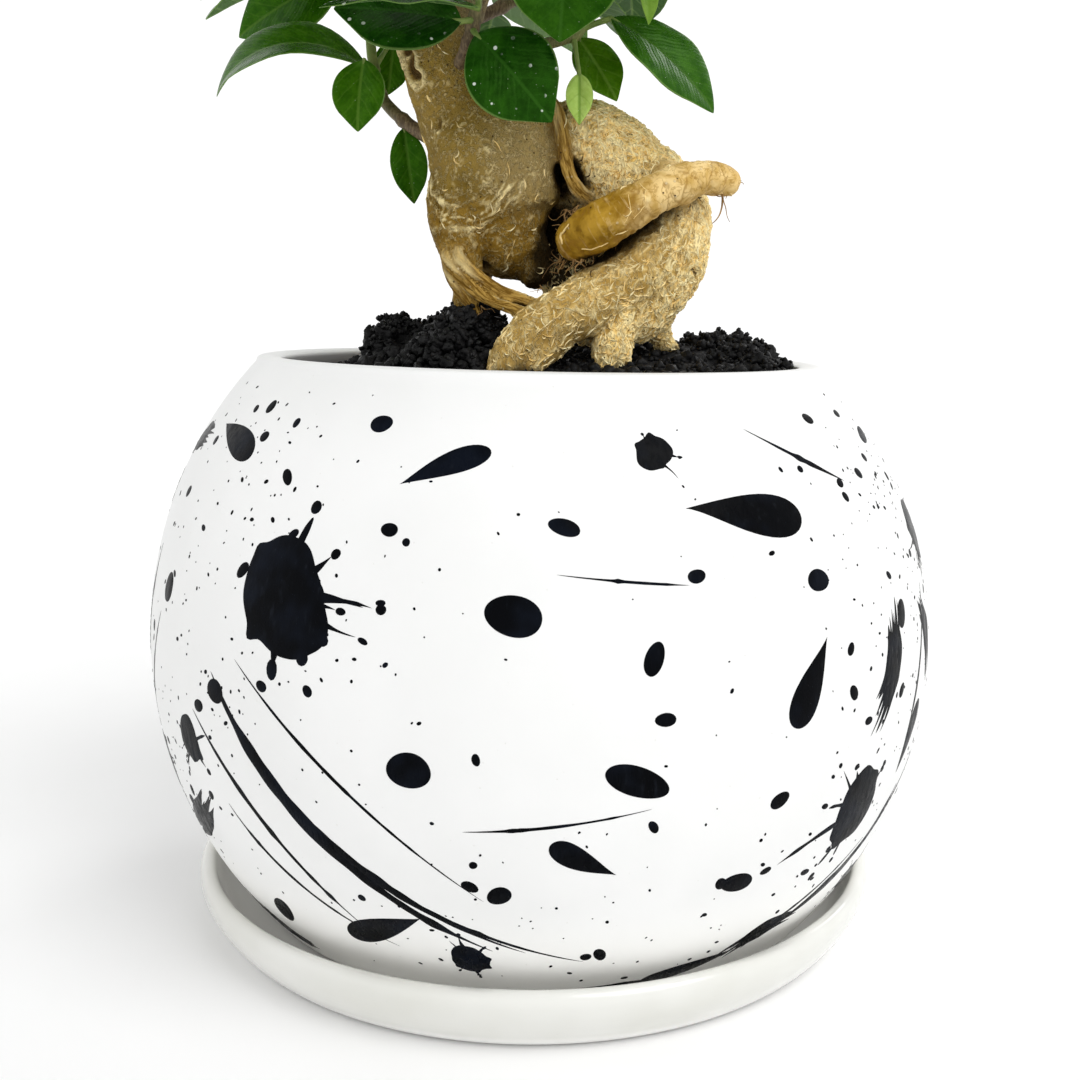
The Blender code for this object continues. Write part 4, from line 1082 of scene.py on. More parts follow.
# %% [markdown]
# Bark follows the limb it covers: creases ring it and fibres run along it. So every point of the skin
# needs to know its nearest limb, how far along that limb it lies, and which kinds of bark meet there.


# %% Points along a path
def lengths_along(points):
    """Distance along a path to each of its points."""
    return np.concatenate(([0], np.cumsum(np.linalg.norm(np.diff(points, axis=0), axis=1))))


def points_at(places, along, points):
    """The path's points, or rows of other numbers, at given distances along it."""
    return np.column_stack([np.interp(places, along, column) for column in points.T])


# %% Find each point's place on its limb
def limb_samples():
    """Middle, radius, direction, two side arrows, distance along and kind of bark at many places."""
    rows = []
    for kind, *points in LIMBS.values():
        table = np.array(points, float)
        along = lengths_along(table[:, :3])
        fine = np.arange(0, along[-1], 0.8)
        middle = points_at(fine, along, table)
        ahead = np.gradient(middle[:, :3], axis=0)
        ahead /= np.linalg.norm(ahead, axis=1)[:, None]
        side = np.cross(ahead[0], (0, 1, 0.2))
        sides = []
        for way in ahead:
            side = side - way * side.dot(way)
            side /= np.linalg.norm(side)
            sides.append(side)
        others = np.cross(ahead, sides)
        rows.append(np.column_stack([middle, ahead, sides, others, fine, np.full(len(fine), kind)]))
    return np.concatenate(rows)


def limb_places(points):
    """For points in metres: place in the limb's own space, direction, and share of each bark."""
    table = limb_samples().astype(np.float32)
    kinds = table[:, 14].astype(int)
    spaces, ways, shares = [], [], []
    for chunk in np.array_split(points.astype(np.float32) / MM, max(1, len(points) // 3000)):
        offset = chunk[:, None] - table[None, :, :3]
        skin = np.linalg.norm(offset, axis=2) - table[None, :, 3]
        best = skin.argmin(1)
        row = table[best]
        away = chunk - row[:, :3]
        across = [(away * row[:, 7:10]).sum(1), (away * row[:, 10:13]).sum(1)]
        spaces.append(np.column_stack([*across, row[:, 13] + (away * row[:, 4:7]).sum(1)]))
        ways.append(row[:, 4:7])
        near = np.stack([skin[:, kinds == kind].min(1) for kind in range(6)], 1)
        share = np.exp(-(near - near.min(1)[:, None]) / 0.7)
        shares.append(share / share.sum(1)[:, None])
    return np.concatenate(spaces), np.concatenate(ways), np.concatenate(shares)


def mesh_arrays(mesh):
    points = np.empty(len(mesh.vertices) * 3)
    normals = np.empty(len(mesh.vertices) * 3)
    edges = np.empty(len(mesh.edges) * 2, int)
    mesh.vertices.foreach_get("co", points)
    mesh.vertices.foreach_get("normal", normals)
    mesh.edges.foreach_get("vertices", edges)
    return points.reshape(-1, 3), normals.reshape(-1, 3), edges.reshape(-1, 2)


def neighbour_mean(values, edges):
    """The mean of a value over the points that edges join to each point."""
    count = np.bincount(edges.ravel(), minlength=len(values))
    total = np.bincount(edges[:, 0], values[edges[:, 1]], len(values))
    total += np.bincount(edges[:, 1], values[edges[:, 0]], len(values))
    return total / count


def spread(values, edges, times):
    """Evens out a value over the skin by averaging it with its neighbours."""
    for number in range(times):
        values = (values + neighbour_mean(values, edges)) / 2
    return values


def cavity(points, normals, edges):
    """How deep in a cleft each point lies: above 0 in a hollow and below 0 on a ridge."""
    pull = np.stack([neighbour_mean(column, edges) - column for column in points.T], 1)
    return spread((pull * normals).sum(1) / MM, edges, 3)


skin_points, skin_normals, skin_edges = mesh_arrays(trunk.data)
hollow = cavity(skin_points, skin_normals, skin_edges)
space, way, bark = limb_places(skin_points)
print("bark shares:", np.round(bark.mean(0), 2))

# %% [markdown]
# The finer forms of the bark are real geometry, so that they also show on the outline: low knobs, rings
# on the smooth roots, grooves along the string roots, and an old scar on the neck with raised lips.

# %% Raise the bark
# Old scars: two ends, half width and depth in millimetres
SCARS = (
    ((-30.6, -4.5, 199), (-27.6, -7.5, 190), 1.5, 1.5),
    ((-21, -8.2, 181.5), (-22.6, -8.6, 179.5), 0.8, 0.5),
    ((-12, -13.6, 176), (-10.8, -13.8, 175), 0.7, 0.5),
    ((33.6, -11.8, 149), (34.4, -10.4, 147.6), 0.9, 0.8),
    ((-7.5, -12, 186.6), (-6.5, -12, 184), 0.8, 0.6),
    ((22, -22.8, 164.4), (22.6, -22.8, 163), 0.5, 0.5),
)
FOLD_CENTRE = (-16.5, -13, 171.5)  # round the eye-like scar, where the bulb's skin is gathered in folds


def noise_at(table):
    return np.array([noise.noise(Vector(row)) for row in table])


def scar_height(points):
    """Height in millimetres of the scars: a ragged trough, and its raised lips on their own."""
    trough, lips = np.zeros(len(points)), np.zeros(len(points))
    ragged = noise_at(points / 2.2)
    for start, end, half, depth in SCARS:
        start, run = np.array(start), np.subtract(end, start)
        share = np.clip((points - start) @ run / (run @ run), 0, 1)
        away = np.linalg.norm(points - start - share[:, None] * run, axis=1) / half + 0.8 * ragged
        trough += depth * np.exp(-(away**2))
        lips += depth * 0.8 * np.exp(-(((away - 1.5) / 0.45) ** 2)) * (1 + 0.8 * ragged)
    return lips - trough, lips


def ridges(table, width):
    """Thin winding lines: 1 where a noise crosses zero, and 0 away from there."""
    return np.exp(-((noise_at(table) / width) ** 2))


def bark_height():
    """Height in millimetres of the bark's relief, and how far its raised threads stand up, 0 to 1."""
    mm = skin_points / MM
    knobs = KNOB_HEIGHT / MM * noise_at(skin_points / KNOB_SIZE)
    swirl = np.column_stack([noise_at(mm / 3.6 + seed) for seed in (11, 23, 37)])
    bent = space + 2.0 * swirl
    broken = np.clip(noise_at(mm / 1.7 + 60) * 2.5 + 0.75, 0, 1)
    long_threads = ridges(bent / (2.1, 2.1, 5.5), 0.17) * broken
    curled = ridges(mm / (1.9, 1.9, 2.6) + 1.3 * swirl, 0.17) * (1 - 0.5 * broken)
    threads = np.maximum(long_threads, 0.8 * curled)
    rings = noise_at(space / (7, 7, 1.5))
    creases = ridges(bent / (9, 9, 3.1), 0.10)
    grooves = noise_at(space / (1.2, 1.2, 14))
    from_eye = mm - np.array(FOLD_CENTRE)
    reach = np.linalg.norm(from_eye, axis=1)
    near_folds = np.exp(-(((reach - 10.5) / 4.5) ** 2)) * np.clip(-from_eye[:, 2] / 5 + 0.2, 0, 1)
    folds = noise_at(np.column_stack([(reach + 1.1 * swirl[:, 0]) / 0.95, mm[:, 0] / 7, mm[:, 2] / 7]))
    patches = np.clip(noise_at(mm / 2.4 + 80) * 2 + 0.6, 0, 1)
    hatch = ridges(mm / (1.7, 1.7, 1.3) + 0.8 * swirl, 0.15) * patches
    bulb = 0.85 * near_folds * folds + 0.20 * hatch
    fibrous = bark[:, FIBROUS] + 0.45 * bark[:, BRANCH]
    smooth = bark[:, BULB] * bulb + bark[:, GOLDEN] * (0.20 * rings - 0.22 * creases)
    rough = fibrous * 0.60 * threads + bark[:, BRANCH] * 0.16 * rings
    thin = bark[:, STRING] * 0.6 * grooves + bark[:, GRAFT] * (0.25 * grooves + 0.2 * rings)
    bulb_crests = 0.50 * near_folds * np.clip(folds * 3, 0, 1) + 0.36 * hatch
    string_crests = 0.45 * bark[:, STRING] * np.clip(grooves * 1.6, 0, 1)
    scars, lips = scar_height(mm)
    crest = np.clip(fibrous * threads + bark[:, BULB] * bulb_crests + string_crests + 0.6 * lips, 0, 1)
    return knobs + smooth + rough + thin + scars, crest, bark[:, GOLDEN] * creases


relief, crest, crease = bark_height()
raised = skin_points + skin_normals * relief[:, None] * MM
trunk.data.vertices.foreach_set("co", raised.ravel())
trunk.data.update()
depth_in_soil = np.array([soil_top(x, y) - z for x, y, z in raised]) / MM
tree = BVHTree.FromPolygons(*read_back(trunk))
print("bark relief, mm:", np.round([relief.min(), relief.max()], 2))

# %% [markdown]
# Clefts in the trunk are nearly black from shade, and that shade is painted into the bark's colour. So the
# skin
# also carries how closed in it is: rays are sent out from some thousands of its points, those that
# strike other skin nearby are counted, and every other point takes the mean of its nearest neighbours.


# %% Find the clefts
def closed_in(points, normals, pick, rays=32, reach=11 * MM):
    """Share of the sky above each skin point that nearby skin hides, 0 to 1."""
    turns = np.arange(rays) * math.pi * (3 - math.sqrt(5))
    heights = 1 - 2 * (np.arange(rays) + 0.5) / rays
    level = np.sqrt(1 - heights**2)
    ball_ways = np.column_stack([level * np.cos(turns), level * np.sin(turns), heights])
    lookup = kdtree.KDTree(len(pick))
    shares = np.empty(len(pick))
    for row, index in enumerate(pick):
        start = Vector(points[index] + normals[index] * 0.25 * MM)
        total = 0.0
        for way in ball_ways + normals[index] * 1.02:
            found, normal, face, away = tree.ray_cast(start, Vector(way), reach)
            if found is not None:
                total += 1 - 0.6 * away / reach
        shares[row] = total / rays
        lookup.insert(Vector(points[index]), row)
    lookup.balance()
    every = np.empty(len(points))
    for index, point in enumerate(points):
        near = lookup.find_n(point, 4)
        weights = [1 / (away + 0.1 * MM) for place, row, away in near]
        every[index] = sum(w * shares[row] for w, (place, row, away) in zip(weights, near)) / sum(weights)
    return every


SHADE_POINTS = 9000
pick = np.random.default_rng(3).choice(len(raised), SHADE_POINTS, replace=False)
shade = closed_in(raised, skin_normals, pick)
print("closed in:", np.round(np.percentile(shade, (10, 50, 90)), 2))


# %% Keep what the bark's look needs
def carry(mesh, name, values):
    if values.ndim == 2:
        mesh.attributes.new(name, "FLOAT_VECTOR", "POINT").data.foreach_set("vector", values.ravel())
    else:
        mesh.attributes.new(name, "FLOAT", "POINT").data.foreach_set("value", values)


carry(trunk.data, "limb_space", space * MM)
shown = {"fibrous": FIBROUS, "golden": GOLDEN, "string": STRING, "graft": GRAFT, "branch": BRANCH}
for name, kind in shown.items():
    carry(trunk.data, name, spread(bark[:, kind].astype(float), skin_edges, 4))
scar = np.clip(-scar_height(skin_points / MM)[0], 0, 1)
measures = {"hollow": hollow, "crest": crest, "crease": crease, "shade": shade, "scar": scar}
for name, values in {**measures, "buried": depth_in_soil}.items():
    carry(trunk.data, name, values)


# %% [markdown]
# Bark colour: olive and greyish on the neck, golden brown on the smooth roots, pale straw on the fibrous
# ones. Threads are pale on their crests and brown between, with painted highlights on the crests and
# painted shade between them. Painted shade darkens the clefts, hollows and ring creases, and the hole under
# the arm is a painted shadow. The golden roots turn paler to the right, partly their own colour and partly
# painted light. Dirt gathers near the soil, corky specks and pin holes dot the smooth parts. Each is a
# mask, and the masks are mixed in turn.


# %% Colour of each kind of bark
def bark_tones(look, broad, patch, near_scribble):
    """The colours of the kinds of bark, each on its own."""
    height = look.axis("Z") + 0.006 * (broad - 0.5)
    blotches = patch.step(0.3, 0.7)
    low_gold = look.mix(blotches, (0.185, 0.100, 0.011), (0.30, 0.175, 0.026))
    olive = look.coats(
        look.mix(broad.step(0.35, 0.65), (0.155, 0.098, 0.014), (0.300, 0.195, 0.036)),
        (blotches * 0.5, (0.33, 0.22, 0.062)),
        (height.step(0.167, 0.159), low_gold),
        (height.step(0.177, 0.189) * 0.5, (0.38, 0.245, 0.052)),
        (near_scribble * 0.55, (0.47, 0.35, 0.15)),
    )
    dark_gold = look.mix(blotches, (0.240, 0.125, 0.008), (0.47, 0.275, 0.034))
    stains = look.noise(2.6, detail=3).step(0.58, 0.70) * 0.6
    dark_gold = look.mix(stains, dark_gold, (0.13, 0.062, 0.006))
    pale_gold = look.mix(patch.step(0.35, 0.65), (0.56, 0.355, 0.10), (0.82, 0.60, 0.27))
    cracks = winding_lines(look, 2.2, 0.04, warp=0.6) * 0.5
    pale_gold = look.mix(cracks, pale_gold, (0.34, 0.19, 0.04))
    # The golden roots turn paler to the right: partly their own colour, partly painted light where the key
    # light falls
    to_the_right = (look.axis("X") + 0.008 * (patch - 0.5)).step(0.014, 0.025)
    gold = look.mix(to_the_right, dark_gold, pale_gold)
    straw = look.mix(patch.step(0.35, 0.7), (0.84, 0.54, 0.15), (1.0, 0.74, 0.29))
    tan = look.mix(blotches, (0.42, 0.265, 0.068), (0.60, 0.40, 0.125))
    return olive, straw, tan, gold


def winding_lines(look, size, half, **more):
    """Fine winding lines, where a noise crosses its middle."""
    return abs(look.noise(size, detail=2, **more) - 0.5).step(half, half * 0.25)


# %% The bark's look
HOLE_SHADOW_CENTRE = (0.006, 0.0035, 0.1505)  # the hole under the arm, painted near black as a shadow
SCRIBBLE_CENTRE = (0.000, -0.012, 0.1735)  # where the bulb is covered in pale scribbled threads


def bark_look():
    look = Look("root_bark", 0.6, Specular_IOR_Level=0.04, Specular_Tint=(1.0, 0.78, 0.42, 1))
    limb = look.arrow("limb_space")
    fibrous, golden, string, branch, graft = look.values("fibrous", "golden", "string", "branch", "graft")
    crest, shade, crease = look.values("crest", "shade", "crease")
    scar, hollow, buried = look.values("scar", "hollow", "buried")
    broad = look.noise(13, detail=3)
    patch = look.noise(4.5, detail=4, warp=0.6)
    uneven = patch - 0.5
    fine = look.noise(0.9, detail=4, rough=0.7)
    grit = look.noise(0.45, detail=2)
    rings = look.noise(1.0, detail=3, place=look.stretched((0.14, 0.14, 1), limb))
    threads = look.noise(0.55, detail=3, warp=0.8, place=look.stretched((1, 1, 0.16), limb))
    flat_lines = winding_lines(look, 1.1, 0.04, place=look.stretched((1, 1, 0.6)))
    scribble = winding_lines(look, 1.7, 0.045, warp=0.8).high(flat_lines) * look.noise(1.6).step(0.42, 0.58)
    fibre_lines = winding_lines(look, 1.3, 0.05, warp=1.2, place=look.stretched((1, 1, 0.5)))
    near_scribble = (look.away_from(SCRIBBLE_CENTRE) + 0.006 * uneven).step(0.017, 0.006)
    cleft = (look.away_from(HOLE_SHADOW_CENTRE) + 0.004 * uneven).step(0.0148, 0.0112)
    corky = look.cells(2.3).step(0.17, 0.08) * patch.step(0.45, 0.6)
    pins = look.cells(2.8, place=look.stretched((1, 1, 1.1))).step(0.10, 0.05)
    rough_parts = fibrous + 0.6 * branch
    smooth_part = (1 - fibrous) * (1 - golden) * (1 - string) * (1 - branch)
    closed = shade + 0.25 * uneven
    soiled = (buried + 3.0 * uneven).step(-2.6, 0.4)

    olive, straw, tan, gold = bark_tones(look, broad, patch, near_scribble)
    wood = look.mix(threads.step(0.35, 0.65), (0.15, 0.075, 0.010), (0.50, 0.31, 0.075))
    grey = look.mix(rings.step(0.4, 0.65), (0.20, 0.155, 0.085), (0.34, 0.27, 0.15))
    kinds = look.coats(
        olive, (fibrous, straw), (branch * 0.9, tan), (golden, gold), (string, wood), (graft, grey)
    )
    look.colour(look.coats(
        kinds,
        # Painted shade between the raised threads, over the brown beneath them, and pale crests that are
        # partly the threads' own colour and partly painted highlight
        (crest.step(0.14, 0.0) * rough_parts * 0.66, (0.30, 0.165, 0.030)),
        (crest.step(0.10, 0.62) * 0.85, (1.0, 0.83, 0.43)),
        (fibre_lines * rough_parts * 0.6, (0.97, 0.79, 0.42)),
        (scribble * smooth_part * (0.62 + 0.35 * near_scribble), (0.66, 0.51, 0.24)),
        (grit.step(0.62, 0.72) * smooth_part * 0.35, (0.50, 0.40, 0.20)),
        (fine.step(0.44, 0.30) * smooth_part * 0.5, (0.085, 0.050, 0.010)),
        (rings.step(0.56, 0.70) * golden * 0.35, (0.80, 0.58, 0.27)),
        # Painted shade in the ring creases of the golden roots
        (crease.step(0.3, 0.9) * 0.5, (0.26, 0.13, 0.02)),
        (corky * (1 - rough_parts) * 0.8, (0.70, 0.56, 0.32)),
        (pins * 0.85, (0.05, 0.028, 0.010)),
        (scar.step(0.1, 0.7) * 0.85, (0.085, 0.045, 0.016)),
        # Painted shade in the hollows of the skin
        (hollow.step(0.02, 0.14) * 0.7, (0.055, 0.028, 0.009)),
        # Painted shade: the more closed in the skin is, the darker brown and then near black it is painted
        (closed.step(0.26, 0.50) * 0.75, (0.085, 0.044, 0.009)),
        (closed.step(0.38, 0.62) * 0.97, (0.008, 0.005, 0.003)),
        # Painted shadow: the hole under the arm is painted near black
        (cleft * 0.93, (0.012, 0.008, 0.005)),
        (soiled * 0.85, (0.030, 0.019, 0.010)),
    ))
    look.roughness(0.46 + 0.2 * fine + 0.2 * fibrous - 0.08 * golden)
    creases = rings * golden * 0.20 + threads * string * 0.3
    grain = scribble * smooth_part * 0.42 + fine * smooth_part * 0.50 + fibre_lines * rough_parts * 0.55
    look.relief(creases + grain + corky * 0.16 - pins * 0.2 + fine * 0.08)
    return look.material


bark_material = bark_look()
trunk.data.materials.clear()
trunk.data.materials.append(bark_material)
trunk.data.shade_smooth()
settle(trunk, "tan_bark", "trunk")

# %% [markdown]
# ## Fibres on the bark
# The lobe and the flank are covered in short raised fibres, straw-coloured and curled. Bump alone looks
# painted on from the side, so several thousand real ones are laid on the skin. Each starts at a random
# point, walks a few steps along the skin in a wandering direction, and is given a three-cornered section.

# %% Rods in bulk
FIBRE_STEPS = 6  # points along a fibre
CORNERS = 3  # of a fibre's section


def spindle_faces(count, inner):
    """Faces of many rods pointed at both ends: a tip, some rings, and a tip."""
    base = (np.arange(count) * (inner * CORNERS + 2))[:, None]
    tris, quads = [], []
    for corner in range(CORNERS):
        after = (corner + 1) % CORNERS
        end = 1 + (inner - 1) * CORNERS
        tris.append(base + np.array([0, 1 + after, 1 + corner]))
        tris.append(base + np.array([end + corner, end + after, 1 + inner * CORNERS]))
        for ring in range(inner - 1):
            near, far = 1 + ring * CORNERS, 1 + (ring + 1) * CORNERS
            quads.append(base + np.array([near + corner, near + after, far + after, far + corner]))
    return np.concatenate(tris), np.concatenate(quads)


def spindles(path, side, up, reach, rise):
    """Rods along many paths at once: path, side and up are (rods, steps, 3), reach and rise are radii."""
    rods, steps = path.shape[:2]
    inner = steps - 2
    taper = np.sin(np.pi * np.linspace(0.12, 0.88, inner))[None, :, None]
    middle, out, high = path[:, 1:-1], side[:, 1:-1], up[:, 1:-1]
    rings = []
    for corner in range(CORNERS):
        angle = math.tau * corner / CORNERS + math.pi / 2
        width = math.cos(angle) * reach[:, None, None] * taper
        height = math.sin(angle) * rise[:, None, None] * taper
        rings.append(middle + out * width + high * height)
    rings = np.stack(rings, 2).reshape(rods, inner * CORNERS, 3)
    points = np.concatenate([path[:, :1], rings, path[:, -1:]], 1)
    return points.reshape(-1, 3), spindle_faces(rods, inner)


# %% Walk fibres over the skin
def sample_skin(mesh, weights, count, seed):
    """Random places on a mesh, more of them where the weights are high."""
    draw = np.random.default_rng(seed)
    mesh.calc_loop_triangles()
    tris = np.empty(len(mesh.loop_triangles) * 3, int)
    mesh.loop_triangles.foreach_get("vertices", tris)
    tris = tris.reshape(-1, 3)
    points = mesh_arrays(mesh)[0]
    one, two, three = (points[tris[:, corner]] for corner in range(3))
    area = np.linalg.norm(np.cross(two - one, three - one), axis=1)
    odds = area * weights[tris].mean(1)
    chosen = draw.choice(len(tris), count, p=odds / odds.sum())
    u, v = draw.random((2, count))
    flip = u + v > 1
    u, v = np.where(flip, 1 - u, u), np.where(flip, 1 - v, v)
    one, two, three = one[chosen], two[chosen], three[chosen]
    return one + u[:, None] * (two - one) + v[:, None] * (three - one), tris[chosen, 0]


def walk_fibres(starts, heading, step, curl, seed, lift):
    """Paths over the skin: each step turns a little, and is set back on the skin."""
    draw = np.random.default_rng(seed)
    count = len(starts)
    paths = np.empty((count, FIBRE_STEPS, 3))
    normals = np.empty((count, FIBRE_STEPS, 3))
    bend = draw.normal(0, curl, count)
    for index in range(count):
        place, direction = Vector(starts[index]), Vector(heading[index])
        for number in range(FIBRE_STEPS):
            found, normal, face, away = tree.find_nearest(place)
            direction = (direction - normal * direction.dot(normal)).normalized()
            paths[index, number] = found + normal * lift
            normals[index, number] = normal
            direction = Quaternion(normal, bend[index] + draw.normal(0, 0.25)) @ direction
            place = found + direction * step[index]
    return paths, normals


# How thickly fibres stand on each kind of bark, in the order of the kinds
FIBRE_SHARES = np.array([0.018, 1.0, 0.010, 0.0, 0.02, 0.36])
show = (1 - np.clip((depth_in_soil + 1.0) / 2.0, 0, 1)) * np.clip(1.25 - shade / 0.4, 0.02, 1)
density = bark @ FIBRE_SHARES * show * np.clip(1 - hollow / 0.12, 0.05, 1)

# %% Lay the fibres
FIBRES = 6400
FIBRE_WANDER = 0.52  # spread of the heading away from the limb's own direction
FIBRE_CURL = 0.30  # spread of the turn at each step, in radians
FIBRE_LIFT = 0.05 * MM
starts, at = sample_skin(trunk.data, density, FIBRES, 21)
draw = np.random.default_rng(22)
heading = way[at] + draw.normal(0, FIBRE_WANDER, (FIBRES, 3))
step = MM * draw.uniform(0.28, 0.82, FIBRES)
paths, ups = walk_fibres(starts, heading, step, FIBRE_CURL, 23, FIBRE_LIFT)
ahead = np.gradient(paths, axis=1)
sides = np.cross(ahead, ups)
sides /= np.linalg.norm(sides, axis=2)[..., None] + 1e-12
reach = MM * draw.uniform(0.14, 0.27, FIBRES)
rise = MM * draw.uniform(0.14, 0.34, FIBRES)
points, faces = spindles(paths, sides, ups, reach, rise)


# %% The look of fibres, and rods along a path
def fibre_look():
    look = Look("straw_fibre", 0.55, Specular_IOR_Level=0.03, Specular_Tint=(1.0, 0.8, 0.45, 1))
    tone, shade = look.values("tone", "shade")
    look.colour(look.coats(
        look.mix(tone, (0.96, 0.70, 0.27), (1.0, 0.92, 0.58)),
        # Painted shade: fibres in closed-in clefts are painted near black
        (shade.step(0.16, 0.42), (0.045, 0.024, 0.007)),
        (look.noise(1.2).step(0.35, 0.7) * 0.35, (0.36, 0.22, 0.075)),
    ))
    look.roughness(0.5 + 0.2 * look.noise(0.7))
    look.relief(0.03 * look.noise(0.25))
    return look.material


def rod(path, radii, sides=6):
    """Rings of corners along a path, closed by flat ends."""
    path = np.asarray(path, float)
    radii = np.broadcast_to(np.asarray(radii, float), (len(path),))
    ahead = np.gradient(path, axis=0)
    ahead /= np.linalg.norm(ahead, axis=1)[:, None] + 1e-12
    side = np.cross(ahead[0], (0.31, 0.83, 0.47))
    rings = []
    angles = math.tau * np.arange(sides) / sides
    for middle, radius, heading in zip(path, radii, ahead):
        side = side - heading * side.dot(heading)
        side /= np.linalg.norm(side)
        other = np.cross(heading, side)
        circle = np.outer(np.cos(angles), side) + np.outer(np.sin(angles), other)
        rings.append(middle + radius * circle)
    ends = np.array([np.arange(sides)[::-1], (len(path) - 1) * sides + np.arange(sides)])
    return np.concatenate(rings), [*ring_faces(len(path), sides), ends]


# %% Threads and strips that lie on the skin
def skin_line(knots, radius, lift):
    """A rod that lies on the skin: knots in millimetres are joined and set down on the nearest skin."""
    knots = np.array(knots, float)
    along = lengths_along(knots)
    line = points_at(np.arange(0, along[-1], 0.7), along, knots) * MM
    path = []
    for number, point in enumerate(line):
        found, normal, face, away = tree.find_nearest(Vector(point))
        place = found + normal * lift * MM * (0.7 + 0.5 * noise.noise(Vector(point) / (2 * MM)))
        if path and (place - path[-1]).length > 1.5 * MM:
            if len(path) > len(line) / 2:
                break
            path = []
        path.append(place)
    ends = np.sin(np.pi * np.linspace(0.08, 0.92, len(path))) ** 0.4
    return rod(path, radius * MM * ends, 5)


# Threads and peeling strips that lie on the skin: knots, radius and height over the skin, in millimetres
SKIN_LINES = (
    (((-0.9, -14, 180.6), (-8.6, -17, 172.9), (-19.2, -15, 162)), 0.10, 0.04),
    (((2.4, -13, 163.5), (-1.5, -14, 158), (-5.7, -12, 151.8)), 0.09, 0.04),
    (((-12, -16, 178), (-7.5, -17, 176.5), (-2, -15.5, 178)), 0.07, 0.03),
    (((2.8, -18.5, 156.6), (2.6, -19, 153.9), (4.6, -21, 151.2), (10.7, -22, 150.4), (15, -22.5, 152.6)),
     0.16, 0.08),
    (((5.2, -20, 158.6), (3.0, -19, 156.2), (3.2, -20, 153.2)), 0.30, 0.15),
    (((20.2, -24, 158.6), (22.2, -24, 161.5), (22, -23.5, 165.5), (20.6, -22.5, 168.2)), 0.10, 0.03),
    (((18.0, -24, 157.8), (19.2, -24, 160.6), (18.4, -23.5, 164.6)), 0.08, 0.03),
    (((-27.6, -7, 196), (-26.8, -9, 190), (-25.4, -9, 184.5)), 0.34, 0.10),
)


fibre = fibre_look()
per_rod = (FIBRE_STEPS - 2) * CORNERS + 2
heap = Heap()
heap.add(points, faces, tone=np.repeat(draw.random(FIBRES), per_rod), shade=np.repeat(shade[at], per_rod))
settle(piece("bark_fibres", heap, fibre, sharp=80), "tan_bark")
heap = Heap()
for knots, radius, lift in SKIN_LINES:
    heap.add(*skin_line(knots, radius, lift), tone=0.15, shade=0)
settle(piece("bark_strips", heap, fibre, sharp=80), "tan_bark")

# %% [markdown]
# ## Rootlets
# Hair roots hang in the dark cleft under the arm, at its cut end and from the string roots. They are
# short tubes in pairs, along paths that set off from a typed start and wander at random.


# %% Hair roots
# Start and general way in millimetres, length, thickness and curl
HAIR_ROOTS = (
    ((8.2, -16.0, 158), (-0.6, 0.2, -0.5), 7, 0.24, 0.5),
    ((7.0, -15.0, 160), (-0.4, 0.2, 0.6), 7, 0.2, 0.6), ((6.4, -13.5, 157), (-0.5, 0.3, 0.4), 7, 0.18, 0.7),
    ((6.4, -14.5, 154), (-0.2, 0.1, -0.8), 9, 0.26, 0.5),
    ((7.5, -16, 151.5), (0.1, -0.1, -0.9), 8, 0.3, 0.4),
    ((9.0, -16.5, 151), (-0.1, -0.1, -0.9), 7, 0.2, 0.6),
    ((5.4, -11.5, 151), (-0.4, 0.1, -0.7), 8, 0.2, 0.6), ((4.4, -11, 152), (0.4, -0.3, -0.7), 9, 0.22, 0.5),
    ((3.4, -10, 149.5), (0.8, -0.2, -0.2), 10, 0.16, 0.7),
    ((11, -15, 149.5), (0.8, -0.1, 0.1), 9, 0.16, 0.6),
    ((12, -14.5, 150), (-0.6, -0.1, -0.3), 8, 0.18, 0.7), ((5.8, -9, 162), (0.1, -0.3, -0.8), 10, 0.2, 0.5),
    ((8.5, -8, 163), (-0.3, -0.3, -0.6), 9, 0.18, 0.6),
    ((10.5, -8.5, 163), (-0.5, -0.2, -0.3), 8, 0.2, 0.6), ((4.4, -9, 156), (0.5, -0.4, 0.4), 8, 0.17, 0.7),
    ((4.6, -10, 158.5), (0.3, -0.4, -0.7), 9, 0.16, 0.6),
    ((39.5, -13.5, 165.4), (0.15, -0.2, -0.95), 9, 0.28, 0.16),
    ((38.4, -13.6, 165.2), (-0.5, -0.3, -0.6), 3, 0.2, 0.4),
    ((40.8, -13.0, 165.8), (0.3, -0.2, -0.8), 4, 0.16, 0.4),
    ((43.6, -12, 168), (0.5, -0.2, -0.4), 2.2, 0.14, 0.4),
    ((-16, -13, 142), (0.1, -0.3, -0.9), 6, 0.2, 0.5), ((-13, -14, 141), (0.3, -0.4, -0.8), 6, 0.18, 0.5),
    ((-6, -10, 143), (0.4, -0.5, -0.5), 8, 0.18, 0.6), ((0, -12, 145.5), (0.3, -0.4, -0.7), 7, 0.16, 0.6),
)


def wander_path(rng, start, way, length, curl, count=16):
    """A path that sets off one way and wanders, turning a little at each step."""
    place, way = Vector(start), Vector(way).normalized()
    path = [place.copy()]
    turn = Vector(random_arrow(rng))
    for number in range(count):
        turn = (turn * 0.75 + Vector(random_arrow(rng)) * 0.6).normalized()
        way = (way + turn * curl * 0.75).normalized()
        place = place + way * (length / count)
        path.append(place.copy())
    return np.array([tuple(point) for point in path]) * MM


def hair_look():
    look = Look("hair_root", 0.6, Specular_IOR_Level=0.3)
    mixed = look.noise(3.0).step(0.35, 0.7)
    look.colour(look.mix(mixed, (0.13, 0.068, 0.022), (0.40, 0.235, 0.085)))
    look.roughness(0.5 + 0.25 * look.noise(0.8))
    look.relief(0.05 * look.noise(0.4))
    return look.material


